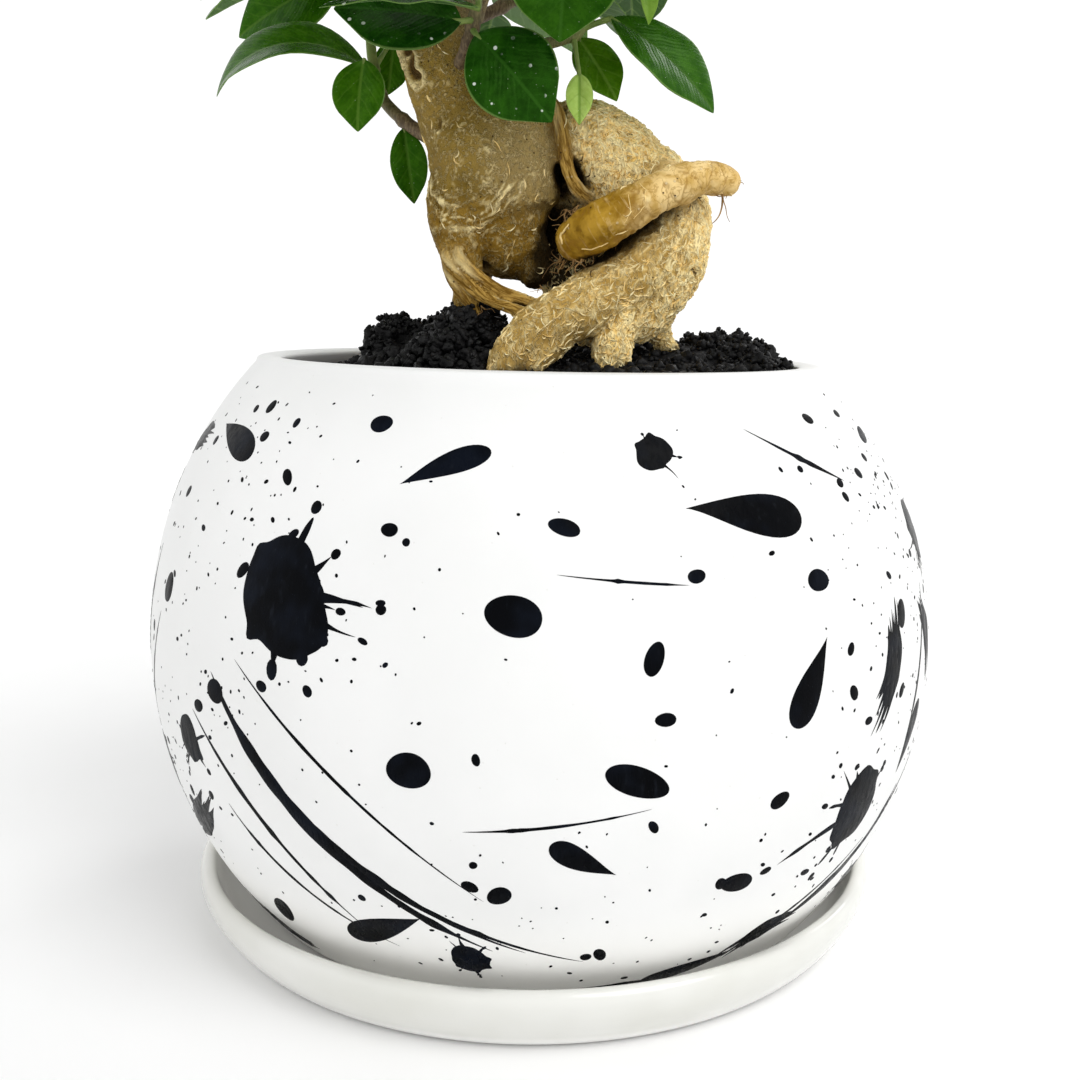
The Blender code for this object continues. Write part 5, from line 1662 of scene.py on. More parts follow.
hair = hair_look()
rng = random.Random(31)
heap = Heap()
for start, toward, length, thick, curl in HAIR_ROOTS:
    for strand in range(2):
        path = wander_path(rng, start, toward, length * rng.uniform(0.5, 0.95), curl)
        radii = thick * MM * np.linspace(1, 0.35, len(path)) * (1 if strand == 0 else 0.6)
        heap.add(*rod(path, radii, 5))
settle(piece("rootlets", heap, hair, sharp=70), "tan_bark")

# %% [markdown]
# ## Leaves
# The leaves grow by one rule: at each node up a twig a leaf sets off at a turn of 137.5 degrees from the
# last, and is bent clear of what is already there. The solid model used this rule with blades of five
# flat pieces. Running the same rule with the same seeds gives the same places here, and each blade is
# then drawn with a soft fold, a waved surface, a groove over the midrib and a rib under it.

# %% Leafy stems
# Thickness at the foot, seed, where the first leaf sits and the route, all in millimetres
Shoot = namedtuple("Shoot", "name thick seed first_leaf route")
TWIG_TIP = 0.8  # thickness at the tip
SHOOTS = (
    Shoot("shoot_left_low", 1.7, 11, 50, ((-20.5, 1, 176.2), (-27.3, 4.5, 179.8), (-33.4, 9, 184.5),
        (-37.7, 13, 189.5), (-39.9, 16, 200), (-40, 19, 214), (-43, 25, 226))),
    Shoot("shoot_front", 1.6, 12, 34, ((-19.5, -3.5, 190.5), (-16, -11.2, 194.6), (-13.6, -13, 202),
        (-12.5, -18, 211), (-11, -26, 222), (-10, -33, 233))),
    Shoot("shoot_right_low", 1.6, 13, 48, ((-19.5, -1.5, 197.4), (-10, -4.5, 196.9), (0, -6, 196.9),
        (8.3, -6, 199.2), (13, -5, 206.5), (18.5, -4, 217), (27, -4, 227))),
    Shoot("shoot_front_left", 1.7, 14, 16, ((-28.0, -1.0, 204), (-32.5, -8.5, 209), (-40, -18, 216),
        (-47, -27, 225), (-51, -34, 236))),
    Shoot("shoot_front_right", 1.8, 15, 14, ((-15.2, -2.6, 208), (-8.5, -7.5, 215), (1, -13, 226),
        (9, -20, 236), (14, -27, 248))),
    Shoot("shoot_right", 1.8, 16, 14, ((-14.8, 2.0, 208.4), (-7, 6, 216), (6, 9, 227), (18, 10, 237),
        (27, 11, 249))),
    Shoot("shoot_top_right", 1.8, 17, 14, ((-13.2, 0.6, 213.6), (-10.6, 1.2, 222), (-8, -2, 238),
        (-4, -4, 254), (-1, -5, 270))),
    Shoot("shoot_top", 1.9, 18, 16, ((-30.9, 4.0, 213.6), (-30.2, 4.4, 222), (-27, 8, 238), (-24, 12, 255),
        (-22, 14, 273))),
    Shoot("shoot_left", 1.8, 19, 14, ((-31.6, 1.4, 208.5), (-39, 0, 215), (-48, -2, 225), (-56, -6, 237),
        (-61, -9, 250))),
    Shoot("shoot_back_left", 1.8, 20, 14, ((-29.6, 6.0, 207.5), (-34, 14, 215), (-39, 23, 228),
        (-44, 32, 240), (-47, 38, 253))),
    Shoot("shoot_back", 1.8, 21, 14, ((-19.8, 12.0, 207.6), (-18, 20.5, 213.5), (-15, 30, 224),
        (-13, 39, 236), (-12, 45, 249))),
    Shoot("shoot_back_right", 1.7, 22, 14, ((-19.6, 9.5, 204.0), (-11.5, 14.5, 208.0), (-1, 22, 215),
        (10, 28, 224), (19, 31, 236))),
)

# %% The lowest leaves, placed one by one
# Root, base, tip and upward arrow, width in millimetres, bend, fold and twist in degrees, and tone:
# 0 is old and dark, 1 is new and bright, and over 1 it is a young leaf
PLACED_LEAVES = {
    "shoot_left_low": (
        ((-40, 18, 211), (-46.5, 24, 219), (-73, 27, 205), (-0.25, -0.9, 0.35), 21, 24, 12, 0, 0.55),
        ((-38.5, 13.5, 192), (-40, 10, 195), (-75.5, 12, 189), (0, -0.5, 0.87), 19, 104, 14, 8, 0.62),
        ((-37.5, 13, 189.5), (-40, 5, 196), (-41.5, 3, 180), (-0.15, -1, 0.2), 13, 30, 16, 0, 0.62),
        ((-39.5, 14.5, 196), (-35, 22.5, 204), (-37, 26, 191.5), (0.2, -0.9, 0.3), 9, 30, 14, 0, 0.6),
        ((-32, 8, 183), (-31.5, 8, 181.5), (-29.5, 9, 164.5), (0.1, -1, 0.15), 9, 20, 16, 0, 0.5),
    ),
    "shoot_front": (
        ((-14, -13, 201), (-16.5, -17, 200), (-43, -19, 202), (0, -0.84, 0.54), 22, 16, 8, 0, 0.02),
        ((-13, -16, 208), (-12.5, -25, 201), (-44, -32, 199.5), (-0.05, -0.35, 0.93), 16, 24, 10, 0, 0.1),
        ((-14.5, -12.5, 199.5), (-13.5, -16, 197.5), (2.5, -21, 179), (0, -1, 0.2), 20, 26, 10, -6, 0.08),
        ((-15.5, -12, 196.5), (-12.5, -14, 192), (-5.5, -15.5, 180.5), (0.2, -1, 0.2), 9, 22, 20, 0, 0.95),
    ),
    "shoot_right_low": (
        ((14, -5, 209), (5.5, -20, 214.5), (4, -26, 194), (0, -0.8, 0.6), 23, 26, 10, 0, 0.3),
        ((7, -6, 199), (8.5, -1, 199.5), (17, -5, 185.5), (0.2, -0.9, 0.3), 11, 20, 14, 0, 0.8),
        ((9, -6, 200.5), (15.5, -7.5, 202.5), (38, -8.5, 182.5), (0.2, -0.64, 0.76), 18, 34, 10, -8, 0.42),
        ((14.5, -4.5, 210), (21.5, -13, 213.5), (23, -15, 199.5), (0.4, -0.9, 0.2), 5.5, 20, 24, 0, 1.3),
        ((8, -6, 199), (8.5, -10, 190.5), (8.5, -12.5, 179.5), (0, -1, 0.2), 6.6, 16, 26, 0, 1.8),
    ),
}
Leaf = namedtuple("Leaf", "shoot root base tip up width bend fold twist")

# %% The rule's numbers
LEAF_LENGTH = 33 * MM
LEAF_RATIO = 0.56
LEAF_THICKNESS = 0.7 * MM
LEAF_STATIONS = (0, 0.15, 0.38, 0.62, 0.84, 1)
STALK_LENGTH = 8 * MM
STALK_RADIUS = 0.75 * MM
LEAF_TURN = math.radians(137.5)
LEAF_SPACING = 8 * MM
SLOPE_LOW = -24  # degrees at the foot of the crown
SLOPE_HIGH = 34  # degrees at its top
CROWN_LOW_Z = 200 * MM
CROWN_HIGH_Z = 275 * MM
CROWN_CENTRE = Vector((-17, 0, 225)) * MM
CROWN_TOP_Z = 302 * MM
CROWN_REACH = 87 * MM
SIZE_TRIES = (1, 0.85, 0.7)
TURN_TRIES = (0, 30, -30, 60, -60, 95, -95, 135, -135, 180)
SLOPE_TRIES = (0, 18, -18, 36)
LEAF_CLEARANCE = 0.6 * MM
SLAB_EDGES = (-1.1, 0, 1.1)
TWIG_CLEARANCE = 0.8 * MM
TRUNK_CLEARANCE = 1.2 * MM
LIMBS_NEAR_LEAVES_Z = 160  # millimetres


# %% A blade in space
def half_width(u):
    """Half a blade's width along its length: fullest before the middle, then drawn out to a point."""
    full = np.clip(np.sin(np.pi * u**0.92), 0, 1) ** 0.75
    return full * (1 - 0.3 * np.clip((u - 0.75) / 0.25, 0, 1))


def blade_frame(leaf, u):
    """Middle line, direction to the right and normal of a blade at shares of its length."""
    base, tip, up = (np.array(point, float) for point in (leaf.base, leaf.tip, leaf.up))
    chord = (tip - base) * MM
    ahead = chord / np.linalg.norm(chord)
    side = np.cross(ahead, up)
    side /= np.linalg.norm(side)
    above = np.cross(side, ahead)
    bend, twist = math.radians(leaf.bend), math.radians(leaf.twist)
    start = math.cos(bend / 2) * ahead + math.sin(bend / 2) * above
    rise = math.cos(bend / 2) * above - math.sin(bend / 2) * ahead
    radius = np.linalg.norm(chord) / (2 * math.sin(bend / 2))
    turn = (bend * u)[..., None]
    spine = base * MM + radius * (np.sin(turn) * start - (1 - np.cos(turn)) * rise)
    normal = np.cos(turn) * rise + np.sin(turn) * start
    roll = (twist * u)[..., None]
    right = np.cos(roll) * side + np.sin(roll) * normal
    normal = np.cos(roll) * normal - np.sin(roll) * side
    return spine, right, normal


def blade(leaf, along, across, lift=0.0):
    """Points of a blade: along is 0 to 1, across is -1 to 1, and lift is off its surface."""
    u, v = np.meshgrid(along, across, indexing="ij")
    spine, right, normal = blade_frame(leaf, u)
    fold = math.radians(leaf.fold)
    reach = (half_width(u) * leaf.width * MM / 2)[..., None]
    edge = v[..., None]
    height = np.abs(edge) * reach * math.sin(fold) + lift
    return spine + edge * reach * math.cos(fold) * right + height * normal


# %% Room round a blade, a stalk and the limbs
def slab_tree(leaf):
    """A blade with the room round it that other leaves stay out of, for overlap tests."""
    room = LEAF_THICKNESS / 2 + LEAF_CLEARANCE
    points, faces = [], []
    for lift in (room, -room):
        first = len(points)
        points += [Vector(point) for row in blade(leaf, LEAF_STATIONS, SLAB_EDGES, lift) for point in row]
        for row, column in product(range(len(LEAF_STATIONS) - 1), (0, 1)):
            a = first + row * 3 + column
            faces.append((a, a + 1, a + 4, a + 3))
    return BVHTree.FromPolygons(points, faces)


def rod_tree(points, radius):
    """A twig or a stalk as a thick three-sided rod, for overlap tests."""
    corners, faces = [], []
    for number, point in enumerate(points):
        ahead = points[min(number + 1, len(points) - 1)] - points[max(number - 1, 0)]
        turn = ahead.to_track_quat("Z", "Y")
        for corner in range(3):
            angle = math.tau * corner / 3
            corners.append(point + turn @ Vector((math.cos(angle), math.sin(angle), 0)) * radius)
        if number:
            first = 3 * (number - 1)
            for corner in range(3):
                near = (corner + 1) % 3
                faces.append((first + corner, first + near, first + 3 + near, first + 3 + corner))
    return BVHTree.FromPolygons(corners, faces)


def leaf_room(leaf):
    """The room of a leaf's blade and the room of its stalk."""
    root, base = Vector(leaf.root) * MM, Vector(leaf.base) * MM
    return slab_tree(leaf), rod_tree([root.lerp(base, 0.3), base], STALK_RADIUS + LEAF_CLEARANCE)


def crown_limbs():
    """Start, run and radii of every straight stretch of the limbs that leaves could touch."""
    stretches = []
    for kind, *points in LIMBS.values():
        for near, far in zip(points, points[1:]):
            if max(near[2], far[2]) > LIMBS_NEAR_LEAVES_Z:
                stretches.append((*near, *far))
    table = np.array(stretches)
    return table[:, :3] * MM, (table[:, 4:7] - table[:, :3]) * MM, table[:, 3] * MM, table[:, 7] * MM


def trunk_distance(points, limbs):
    """Distance from the nearest of some points to the skin of the limbs."""
    start, run, radius_near, radius_far = limbs
    offset = points[:, None, :] - start[None]
    share = np.clip((offset * run).sum(-1) / (run * run).sum(-1), 0, 1)
    away = np.linalg.norm(offset - share[..., None] * run, axis=-1)
    return float((away - (radius_near + (radius_far - radius_near) * share)).min())


def point_along(path, distance):
    """The point and the direction at a distance along a path."""
    for here, there in zip(path, path[1:]):
        step = (there - here).length
        if distance <= step:
            return here + (there - here) * (distance / step), (there - here).normalized()
        distance -= step


# %% One leaf off a twig
def draw_leaf(rng):
    """How one leaf differs from the next."""
    return {
        "size": rng.uniform(0.86, 1.12),
        "broad": rng.uniform(0.92, 1.1),
        "stalk": rng.uniform(0.8, 1.2),
        "slope": rng.uniform(-14, 14),
        "lean": [rng.uniform(-0.22, 0.22) for axis in range(3)],
        "bend": rng.uniform(18, 55),
        "fold": rng.uniform(8, 24),
        "twist": rng.uniform(-14, 14),
    }


def hang_leaf(shoot, root, ahead, azimuth, tilt, size, draw):
    """One leaf off a twig: its stalk leaves at the azimuth, and the blade spreads out of the crown."""
    across = ahead.orthogonal().normalized()
    out = Quaternion(ahead, azimuth) @ across
    from_middle = root - CROWN_CENTRE
    level = Vector((from_middle.x, from_middle.y, 0)).normalized()
    heading = level * 0.7 + Vector((out.x, out.y, 0)) * 0.9
    heading = heading.normalized() if heading.length > 0.05 else level
    height_share = min(1.0, max(0.0, (root.z - CROWN_LOW_Z) / (CROWN_HIGH_Z - CROWN_LOW_Z)))
    slope = SLOPE_LOW + (SLOPE_HIGH - SLOPE_LOW) * height_share
    slope = math.radians(slope + draw["slope"] + tilt)
    spread_way = heading * math.cos(slope) + Vector((0, 0, math.sin(slope)))
    stalk = (out * 0.75 + ahead * 0.45 + spread_way * 0.5).normalized()
    length = LEAF_LENGTH * draw["size"] * size
    base = root + stalk * STALK_LENGTH * draw["stalk"]
    tip = base + spread_way * length
    up = Vector((0, 0, 0.85)) + level * 0.3 + Vector(draw["lean"])
    width = length * LEAF_RATIO * draw["broad"]
    form = (draw["bend"], draw["fold"], draw["twist"])
    return Leaf(shoot.name, root / MM, base / MM, tip / MM, up, width / MM, *form)


# %% Grow the crown
class Crown:
    """The leaves placed so far, with what a new leaf has to stay clear of."""

    def __init__(self):
        self.leaves = []
        self.taken = []
        self.limbs = crown_limbs()
        self.paths = {shoot.name: [Vector(point) * MM for point in shoot.route] for shoot in SHOOTS}
        self.twigs = {}
        for shoot in SHOOTS:
            self.twigs[shoot.name] = rod_tree(self.paths[shoot.name], shoot.thick * MM + TWIG_CLEARANCE)

    def fits(self, leaf):
        points = blade(leaf, LEAF_STATIONS, (-1, 0, 1)).reshape(-1, 3)
        if np.abs(points[:, :2]).max() > CROWN_REACH or points[:, 2].max() > CROWN_TOP_Z:
            return False
        root, base = Vector(leaf.root) * MM, Vector(leaf.base) * MM
        stalk_points = [root.lerp(base, share) for share in (0.5, 0.75, 1)]
        if trunk_distance(np.concatenate([points, stalk_points]), self.limbs) < TRUNK_CLEARANCE:
            return False
        slab, stalk = leaf_room(leaf)
        for name, tree in self.twigs.items():
            if slab.overlap(tree) or (name != leaf.shoot and stalk.overlap(tree)):
                return False
        return not any(slab.overlap(tree) or stalk.overlap(tree) for tree in self.taken)

    def add(self, leaf):
        self.leaves.append(leaf)
        self.taken += leaf_room(leaf)

    def grow(self, shoot):
        """A leaf at each node up the twig, a set turn on from the last, bent clear of what is there."""
        rng = random.Random(shoot.seed)
        path = self.paths[shoot.name]
        distance = shoot.first_leaf * MM
        azimuth = rng.uniform(0, math.tau)
        length = sum((b - a).length for a, b in zip(path, path[1:]))
        while distance < length:
            root, ahead = point_along(path, distance)
            self.place(shoot, root, ahead, azimuth, draw_leaf(rng))
            distance += LEAF_SPACING * rng.uniform(0.85, 1.15)
            azimuth += LEAF_TURN

    def place(self, shoot, root, ahead, azimuth, draw):
        """The first try that fits is added, and a leaf that fits nowhere is left out."""
        for size, turn, tilt in product(SIZE_TRIES, TURN_TRIES, SLOPE_TRIES):
            leaf = hang_leaf(shoot, root, ahead, azimuth + math.radians(turn), tilt, size, draw)
            if self.fits(leaf):
                self.add(leaf)
                return


crown = Crown()
for name, rows in PLACED_LEAVES.items():
    for *form, tone in rows:
        crown.add(Leaf(name, *form))
for shoot in SHOOTS:
    crown.grow(shoot)
print("leaves:", len(crown.leaves))

# %% [markdown]
# A real blade is thin at its edge and thick over the midrib. Its section is drawn here as a closed loop
# of points: over the top from edge to edge, and back underneath. The loop is carried along the blade and
# pinched to a point at both ends, so the blade is one closed skin.

# %% Draw a fine blade
BLADE_ROWS = 26
HALF_ACROSS = np.array([0.05, 0.13, 0.3, 0.5, 0.7, 0.86, 0.96, 1])
ACROSS = np.concatenate([-HALF_ACROSS[::-1], [0], HALF_ACROSS])
BLADE_THICK = 0.5 * MM
EDGE_THICK = 0.2 * MM
RIB_DEPTH = 0.42 * MM
RIB_HALF = 0.45 * MM
GROOVE_DEPTH = 0.14 * MM


def fine_blade(leaf, rng):
    """Points and faces of one blade, and the numbers at each point that its look reads."""
    u = (1 - np.cos(np.pi * np.linspace(0.02, 0.985, BLADE_ROWS))) / 2
    u[0], u[-1] = 0.004, 0.997
    grid_u, grid_v = np.meshgrid(u, ACROSS, indexing="ij")
    edge = np.abs(grid_v)
    spine, right, normal = blade_frame(leaf, grid_u)
    fold = math.radians(leaf.fold)
    reach = half_width(grid_u) * leaf.width * MM / 2
    soft = np.sqrt(grid_v**2 + 0.012) - 0.11
    wave = rng.uniform(0.2, 0.55) * MM * min(1.0, leaf.width / 16)
    phase, turns = rng.uniform(0, 6.28), rng.uniform(1.6, 2.6)
    waves = wave * edge**2.2 * np.sin(math.tau * turns * grid_u + phase + np.sign(grid_v) * 0.9)
    curl = -rng.uniform(0.02, 0.10) * reach * grid_v**4
    height = soft * reach * math.sin(fold) + waves * np.sin(np.pi * grid_u) + curl
    middle = spine + (grid_v * reach * math.cos(fold))[..., None] * right + height[..., None] * normal
    taper = np.minimum(1, np.minimum(grid_u, 1 - grid_u) * 9 + 0.15)
    thick = (EDGE_THICK + (BLADE_THICK - EDGE_THICK) * (1 - edge**3)) * taper
    rib = np.exp(-((grid_v * reach / RIB_HALF) ** 2)) * (1 - 0.75 * grid_u)
    top = middle + (thick / 2 - GROOVE_DEPTH * rib)[..., None] * normal
    under = middle - (thick / 2 + RIB_DEPTH * rib)[..., None] * normal
    start, end = blade(leaf, [0], [0])[0], blade(leaf, [1], [0])[0]
    points = np.concatenate([start, np.concatenate([top, under[:, ::-1]], 1).reshape(-1, 3), end])
    ring = 2 * len(ACROSS)
    first = 1 + np.arange(ring)
    last = first + (BLADE_ROWS - 1) * ring
    fans = [
        np.stack([np.zeros(ring, int), np.roll(first, -1), first], 1),
        np.stack([last, np.roll(last, -1), np.full(ring, len(points) - 1)], 1),
    ]
    faces = [*(1 + quads for quads in ring_faces(BLADE_ROWS, ring)), *fans]

    def carried(above, below, at_start, at_end):
        """A number for the first point, for every loop and for the last point."""
        loops = np.concatenate([above, below[:, ::-1]], 1)
        return np.concatenate([[at_start], loops.ravel(), [at_end]])

    length = np.linalg.norm(np.subtract(leaf.tip, leaf.base)) * MM
    along, across = grid_u * length / MM, grid_v * reach / MM
    return points, faces, {
        "along": carried(along, along, 0, length / MM),
        "across": carried(across, across, 0, 0),
        "edge": carried(edge, edge, 0, 0),
        "upper": carried(np.ones_like(edge), np.zeros_like(edge), 0.5, 0.5),
    }


# %% [markdown]
# The leaf's look: glossy green above and paler below. The midrib is a pale line that fades towards the
# tip. The side veins leave it at a slant and are close together, which a saw-tooth of along minus across
# gives. The margin is thin and catches light, so it is drawn pale. Each leaf has its own tone.


# %% The look of leaves and twigs
def leaf_look():
    look = Look("ficus_leaf", 0.3, Specular_IOR_Level=0.22, Specular_Tint=(0.35, 0.85, 0.12, 1))
    along, across, upper, edge, tone = look.values("along", "across", "upper", "edge", "tone")
    drift = look.noise(5, detail=3) - 0.5
    slant = along * 0.55 - abs(across) * 0.62 + drift * 1.5
    saw = abs((slant * 0.42).wrap() - 0.5) * 2
    veins = saw.step(0.80, 0.97) * (1 - edge.step(0.82, 0.96))
    small = abs((slant * 1.26).wrap() - 0.5) * 2
    midrib = abs(across).step(0.55, 0.12)
    margin = edge.step(0.945, 0.985)
    mottle = look.noise(2.4, detail=4, rough=0.65)
    clouds = mottle.step(0.3, 0.7)
    sheen = look.noise(8, detail=2, warp=0.5).step(0.46, 0.68)
    dust_and_glint_specks = look.cells(1.1).step(0.10, 0.06) * look.noise(5).step(0.44, 0.58)
    lime_and_glint_specks = look.cells(3.0).step(0.16, 0.12) * look.noise(9).step(0.48, 0.56) * tone.step(0.3, 0.1)

    old = look.mix(clouds, (0.0030, 0.026, 0.0012), (0.0090, 0.052, 0.0030))
    mid = look.mix(clouds, (0.014, 0.070, 0.0012), (0.032, 0.115, 0.0030))
    new = look.mix(clouds, (0.052, 0.145, 0.0020), (0.088, 0.200, 0.0055))
    young = look.mix(clouds, (0.34, 0.50, 0.095), (0.44, 0.60, 0.15))
    rib_tone = look.mix(tone.step(0.2, 1.0), (0.022, 0.085, 0.008), (0.15, 0.27, 0.035))
    face = look.coats(
        old,
        (tone.step(0.0, 0.6), mid),
        (tone.step(0.5, 1.0), new),
        (tone.step(1.1, 1.7), young),
        # Painted sheen: broad lighter patches on the darker leaves
        (sheen * 0.45 * tone.step(0.5, 0.0), (0.026, 0.115, 0.006)),
        (veins * 0.26, rib_tone),
        (small.step(0.70, 0.95) * 0.05, rib_tone),
        (midrib * 0.75, rib_tone),
    )
    back = look.mix(tone.step(0.0, 1.0), (0.060, 0.13, 0.040), (0.13, 0.26, 0.055))
    back = look.mix(veins * 0.4 + midrib * 0.6, back, (0.22, 0.34, 0.12))
    look.colour(look.coats(
        back,
        (upper.step(0.35, 0.65), face),
        # Pale specks: partly dust and lime spots, partly painted glints
        (dust_and_glint_specks * 0.7 * upper, (0.42, 0.47, 0.36)),
        (lime_and_glint_specks * 0.85 * upper, (0.74, 0.78, 0.72)),
        (margin * 0.5, (0.20, 0.31, 0.085)),
    ))
    look.roughness(0.46 - 0.26 * upper + 0.14 * mottle)
    puffs = 0.04 * (1 - saw) * (1 - midrib) + 0.02 * (1 - small)
    dents = 0.25 * look.noise(7, detail=1)
    look.relief(puffs + 0.015 * mottle + 0.02 * look.noise(0.35) + 0.05 * midrib + dents)
    return look.material


def twig_look():
    look = Look("twig_bark", 0.55, Specular_IOR_Level=0.3)
    age = look.values("tone")[0]
    grain = look.noise(0.5, detail=3, place=look.stretched((1, 1, 0.3)))
    pores = look.cells(1.3).step(0.14, 0.07)
    woody = look.mix(grain.step(0.35, 0.65), (0.085, 0.055, 0.028), (0.20, 0.14, 0.075))
    green = look.mix(look.noise(5).step(0.3, 0.7), (0.12, 0.19, 0.035), (0.22, 0.30, 0.075))
    look.colour(look.coats(woody, (age.step(0.15, 0.7), green), (pores * 0.6, (0.42, 0.34, 0.2))))
    look.roughness(0.46 + 0.25 * grain)
    look.relief(0.10 * grain + 0.06 * pores)
    return look.material


leaf_material = leaf_look()
twig_material = twig_look()

# %% [markdown]
# A twig thickens at each node, where a ring scar marks the sheath that once wrapped the bud, and it ends
# in a pointed sheath of its own. The stalk of a leaf is a slim rod from the twig's middle into the rib.


# %% Twigs, stalks and buds
BUD_GIRTH = np.array([0.75, 1.0, 1.1, 1.05, 0.92, 0.72, 0.48, 0.24, 0.04]) * MM
BUD_LENGTH = 6.5 * MM
STALK_GIRTH = np.array([1.05, 0.86, 0.72, 0.68, 0.66, 0.66, 0.68, 0.66, 0.48, 0.22]) * MM


def even_path(points, pitch):
    """A path with its corners eased, as points a set distance apart, and their distances along it."""
    points = np.array([tuple(point) for point in points])
    for number in range(3):
        near, far = points[:-1] * 0.75 + points[1:] * 0.25, points[:-1] * 0.25 + points[1:] * 0.75
        eased = np.stack([near, far], 1).reshape(-1, 3)
        points = np.concatenate([points[:1], eased, points[-1:]])
    along = lengths_along(points)
    places = np.linspace(0, along[-1], max(3, int(along[-1] / pitch)))
    return points_at(places, along, points), places


def nearest(path, point):
    """Number of the path's point that lies nearest to another."""
    return np.linalg.norm(path - point, axis=1).argmin()


def add_rod(heap, path, girth, sides, tone):
    """A rod for the stem's heap, with none of the numbers that only blades need."""
    points, faces = rod(path, girth, sides)
    heap.add(points, faces, tone=tone, along=0, across=0, edge=0, upper=0)


def add_twig(heap, shoot, roots):
    """A twig that swells at each root of a leaf, and its bud. Returns the twig's path."""
    path, along = even_path(crown.paths[shoot.name], 0.9 * MM)
    share = along / along[-1]
    radii = (shoot.thick + (TWIG_TIP - shoot.thick) * share) * MM
    for root in roots:
        past = along - along[nearest(path, root)]
        radii = radii + 0.32 * MM * np.exp(-((past / (1.1 * MM)) ** 2))
        radii = radii - 0.10 * MM * np.exp(-(((past - 2.0 * MM) / (0.5 * MM)) ** 2))
    add_rod(heap, path, radii, 10, np.repeat(share * 1.1 - 0.05, 10))
    ahead = path[-1] - path[-3]
    ahead /= np.linalg.norm(ahead)
    bud = path[-1] + np.outer(np.linspace(-0.1, 1, len(BUD_GIRTH)) * BUD_LENGTH, ahead)
    add_rod(heap, bud, BUD_GIRTH, 8, 1.4)
    return path


def add_stalk(heap, leaf, root, path, tone):
    """A slim rod from the middle of the twig into the blade's rib."""
    root = path[nearest(path, root)]
    base = np.array(tuple(leaf.base)) * MM
    spine, right, normal = blade_frame(leaf, np.array([0.0, 0.05, 0.11]))
    inner = spine - normal * 0.28 * MM
    s = np.linspace(0, 1, 8)[:-1, None]
    knee = root + (base - root) * 0.75
    run = (1 - s) ** 2 * root + 2 * s * (1 - s) * knee + s**2 * inner[0]
    girth = STALK_GIRTH * min(1, 0.55 + leaf.width / 30)
    add_rod(heap, np.concatenate([run, inner]), girth, 8, 0.75 + 0.35 * tone)


# %% Build the leafy stems
def leaf_tones():
    """A tone for every leaf: typed for the placed ones, and by height and chance for the rest."""
    rng = random.Random(5)
    tones = [row[-1] for rows in PLACED_LEAVES.values() for row in rows]
    for leaf in crown.leaves[len(tones):]:
        height = (leaf.base[2] - 200) / 90
        tones.append(min(1.0, max(0.0, 0.25 + 0.45 * height + rng.gauss(0, 0.2))))
    return tones


tones = leaf_tones()
rng = random.Random(77)
for shoot in SHOOTS:
    heap = Heap()
    own = [(leaf, tone) for leaf, tone in zip(crown.leaves, tones) if leaf.shoot == shoot.name]
    roots = [np.array(tuple(leaf.root)) * MM for leaf, tone in own]
    path = add_twig(heap, shoot, roots)
    for (leaf, tone), root in zip(own, roots):
        add_stalk(heap, leaf, root, path, tone)
        points, faces, values = fine_blade(leaf, rng)
        heap.add(points, faces, 1, tone=tone, **values)
    stem = piece(shoot.name + "_fine", heap, twig_material, leaf_material, sharp=50)
    settle(stem, "leaf_green", shoot.name)

# %% [markdown]
# ## Floor and light
# The picture is bright all over: a white room, with one large soft light high on the right that leaves a
# faint shadow on the left of the saucer. The room's sides are white and its top is dimmer, so the forms
# keep their shading, and two wide suns give the rest: a key in front and a weaker one behind. A sun is
# as strong far off as near, so the floor stays as white as the room and no horizon shows.


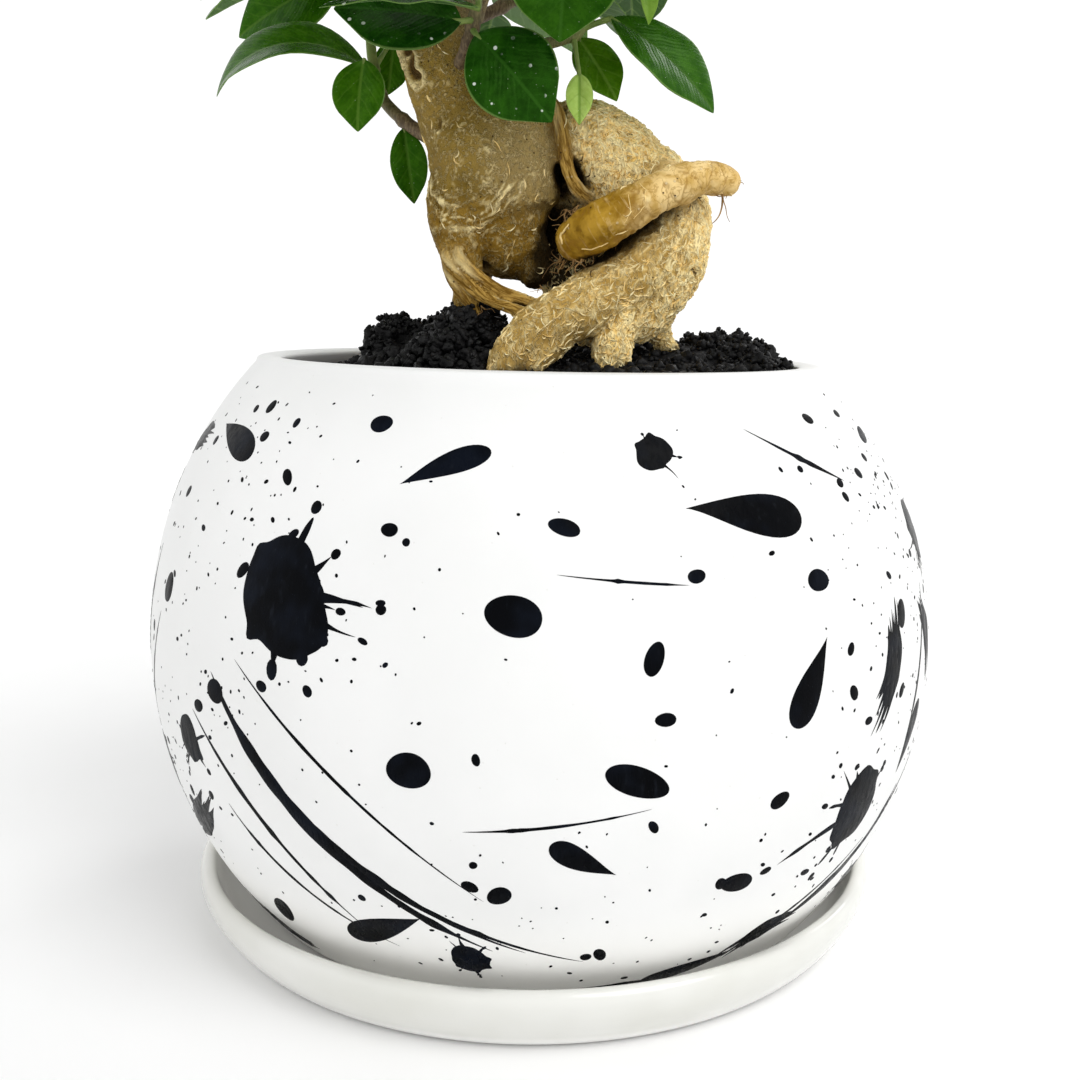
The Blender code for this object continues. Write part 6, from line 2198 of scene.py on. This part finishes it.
# %% Floor
def floor_look():
    look = Look("pale_floor", 0.7, Specular_IOR_Level=0.2)
    look.colour(look.mix(look.noise(60).step(0.3, 0.7), (0.925, 0.925, 0.923), (0.935, 0.935, 0.934)))
    return look.material


FLOOR_HALF = 4.0
FLOOR_TOP_Z, FLOOR_UNDER_Z = -0.0004, -0.01
square = ((-1, -1), (1, -1), (1, 1), (-1, 1))
heap = Heap()
heap.add(
    [(x * FLOOR_HALF, y * FLOOR_HALF, z) for z in (FLOOR_TOP_Z, FLOOR_UNDER_Z) for x, y in square],
    [np.array([[0, 1, 2, 3], [7, 6, 5, 4], [0, 4, 5, 1], [1, 5, 6, 2], [2, 6, 7, 3], [3, 7, 4, 0]])],
)
floor = piece("floor", heap, floor_look())


# %% World and lights
def soft_sun(name, toward, angle, strength):
    """A light from one direction, wide enough for soft shadows, that is as strong far off as near."""
    light = bpy.data.lights.new(name, "SUN")
    light.angle = math.radians(angle)
    light.energy = strength
    obj = bpy.data.objects.new(name, light)
    obj.rotation_euler = Vector(toward).to_track_quat("Z", "Y").to_euler()
    scene.collection.objects.link(obj)


def white_room(low, high, fade_start=0.42, fade_end=0.85):
    """A world that is bright round the sides, like a white sweep, and dimmer overhead."""
    world = bpy.data.worlds.new("white_room")
    world.use_nodes = True
    tree = world.node_tree
    back = tree.nodes["Background"]
    back.inputs["Color"].default_value = (1, 1, 1, 1)
    place = tree.nodes.new("ShaderNodeTexCoord")
    split = tree.nodes.new("ShaderNodeSeparateXYZ")
    fade = tree.nodes.new("ShaderNodeMapRange")
    fade.interpolation_type = "SMOOTHSTEP"
    ends = {"From Min": fade_start, "From Max": fade_end, "To Min": low, "To Max": high}
    for socket, value in ends.items():
        fade.inputs[socket].default_value = value
    tree.links.new(place.outputs["Generated"], split.inputs[0])
    tree.links.new(split.outputs["Z"], fade.inputs["Value"])
    tree.links.new(fade.outputs[0], back.inputs["Strength"])
    return world


scene.world = white_room(1.08, 0.60)
soft_sun("key", (0.55, -0.55, 0.95), 38, 1.25)
soft_sun("rim", (0.60, 0.65, 0.70), 20, 0.35)
scene.view_settings.view_transform = "Standard"
print("lights:", [obj.name for obj in scene.objects if obj.type == "LIGHT"])
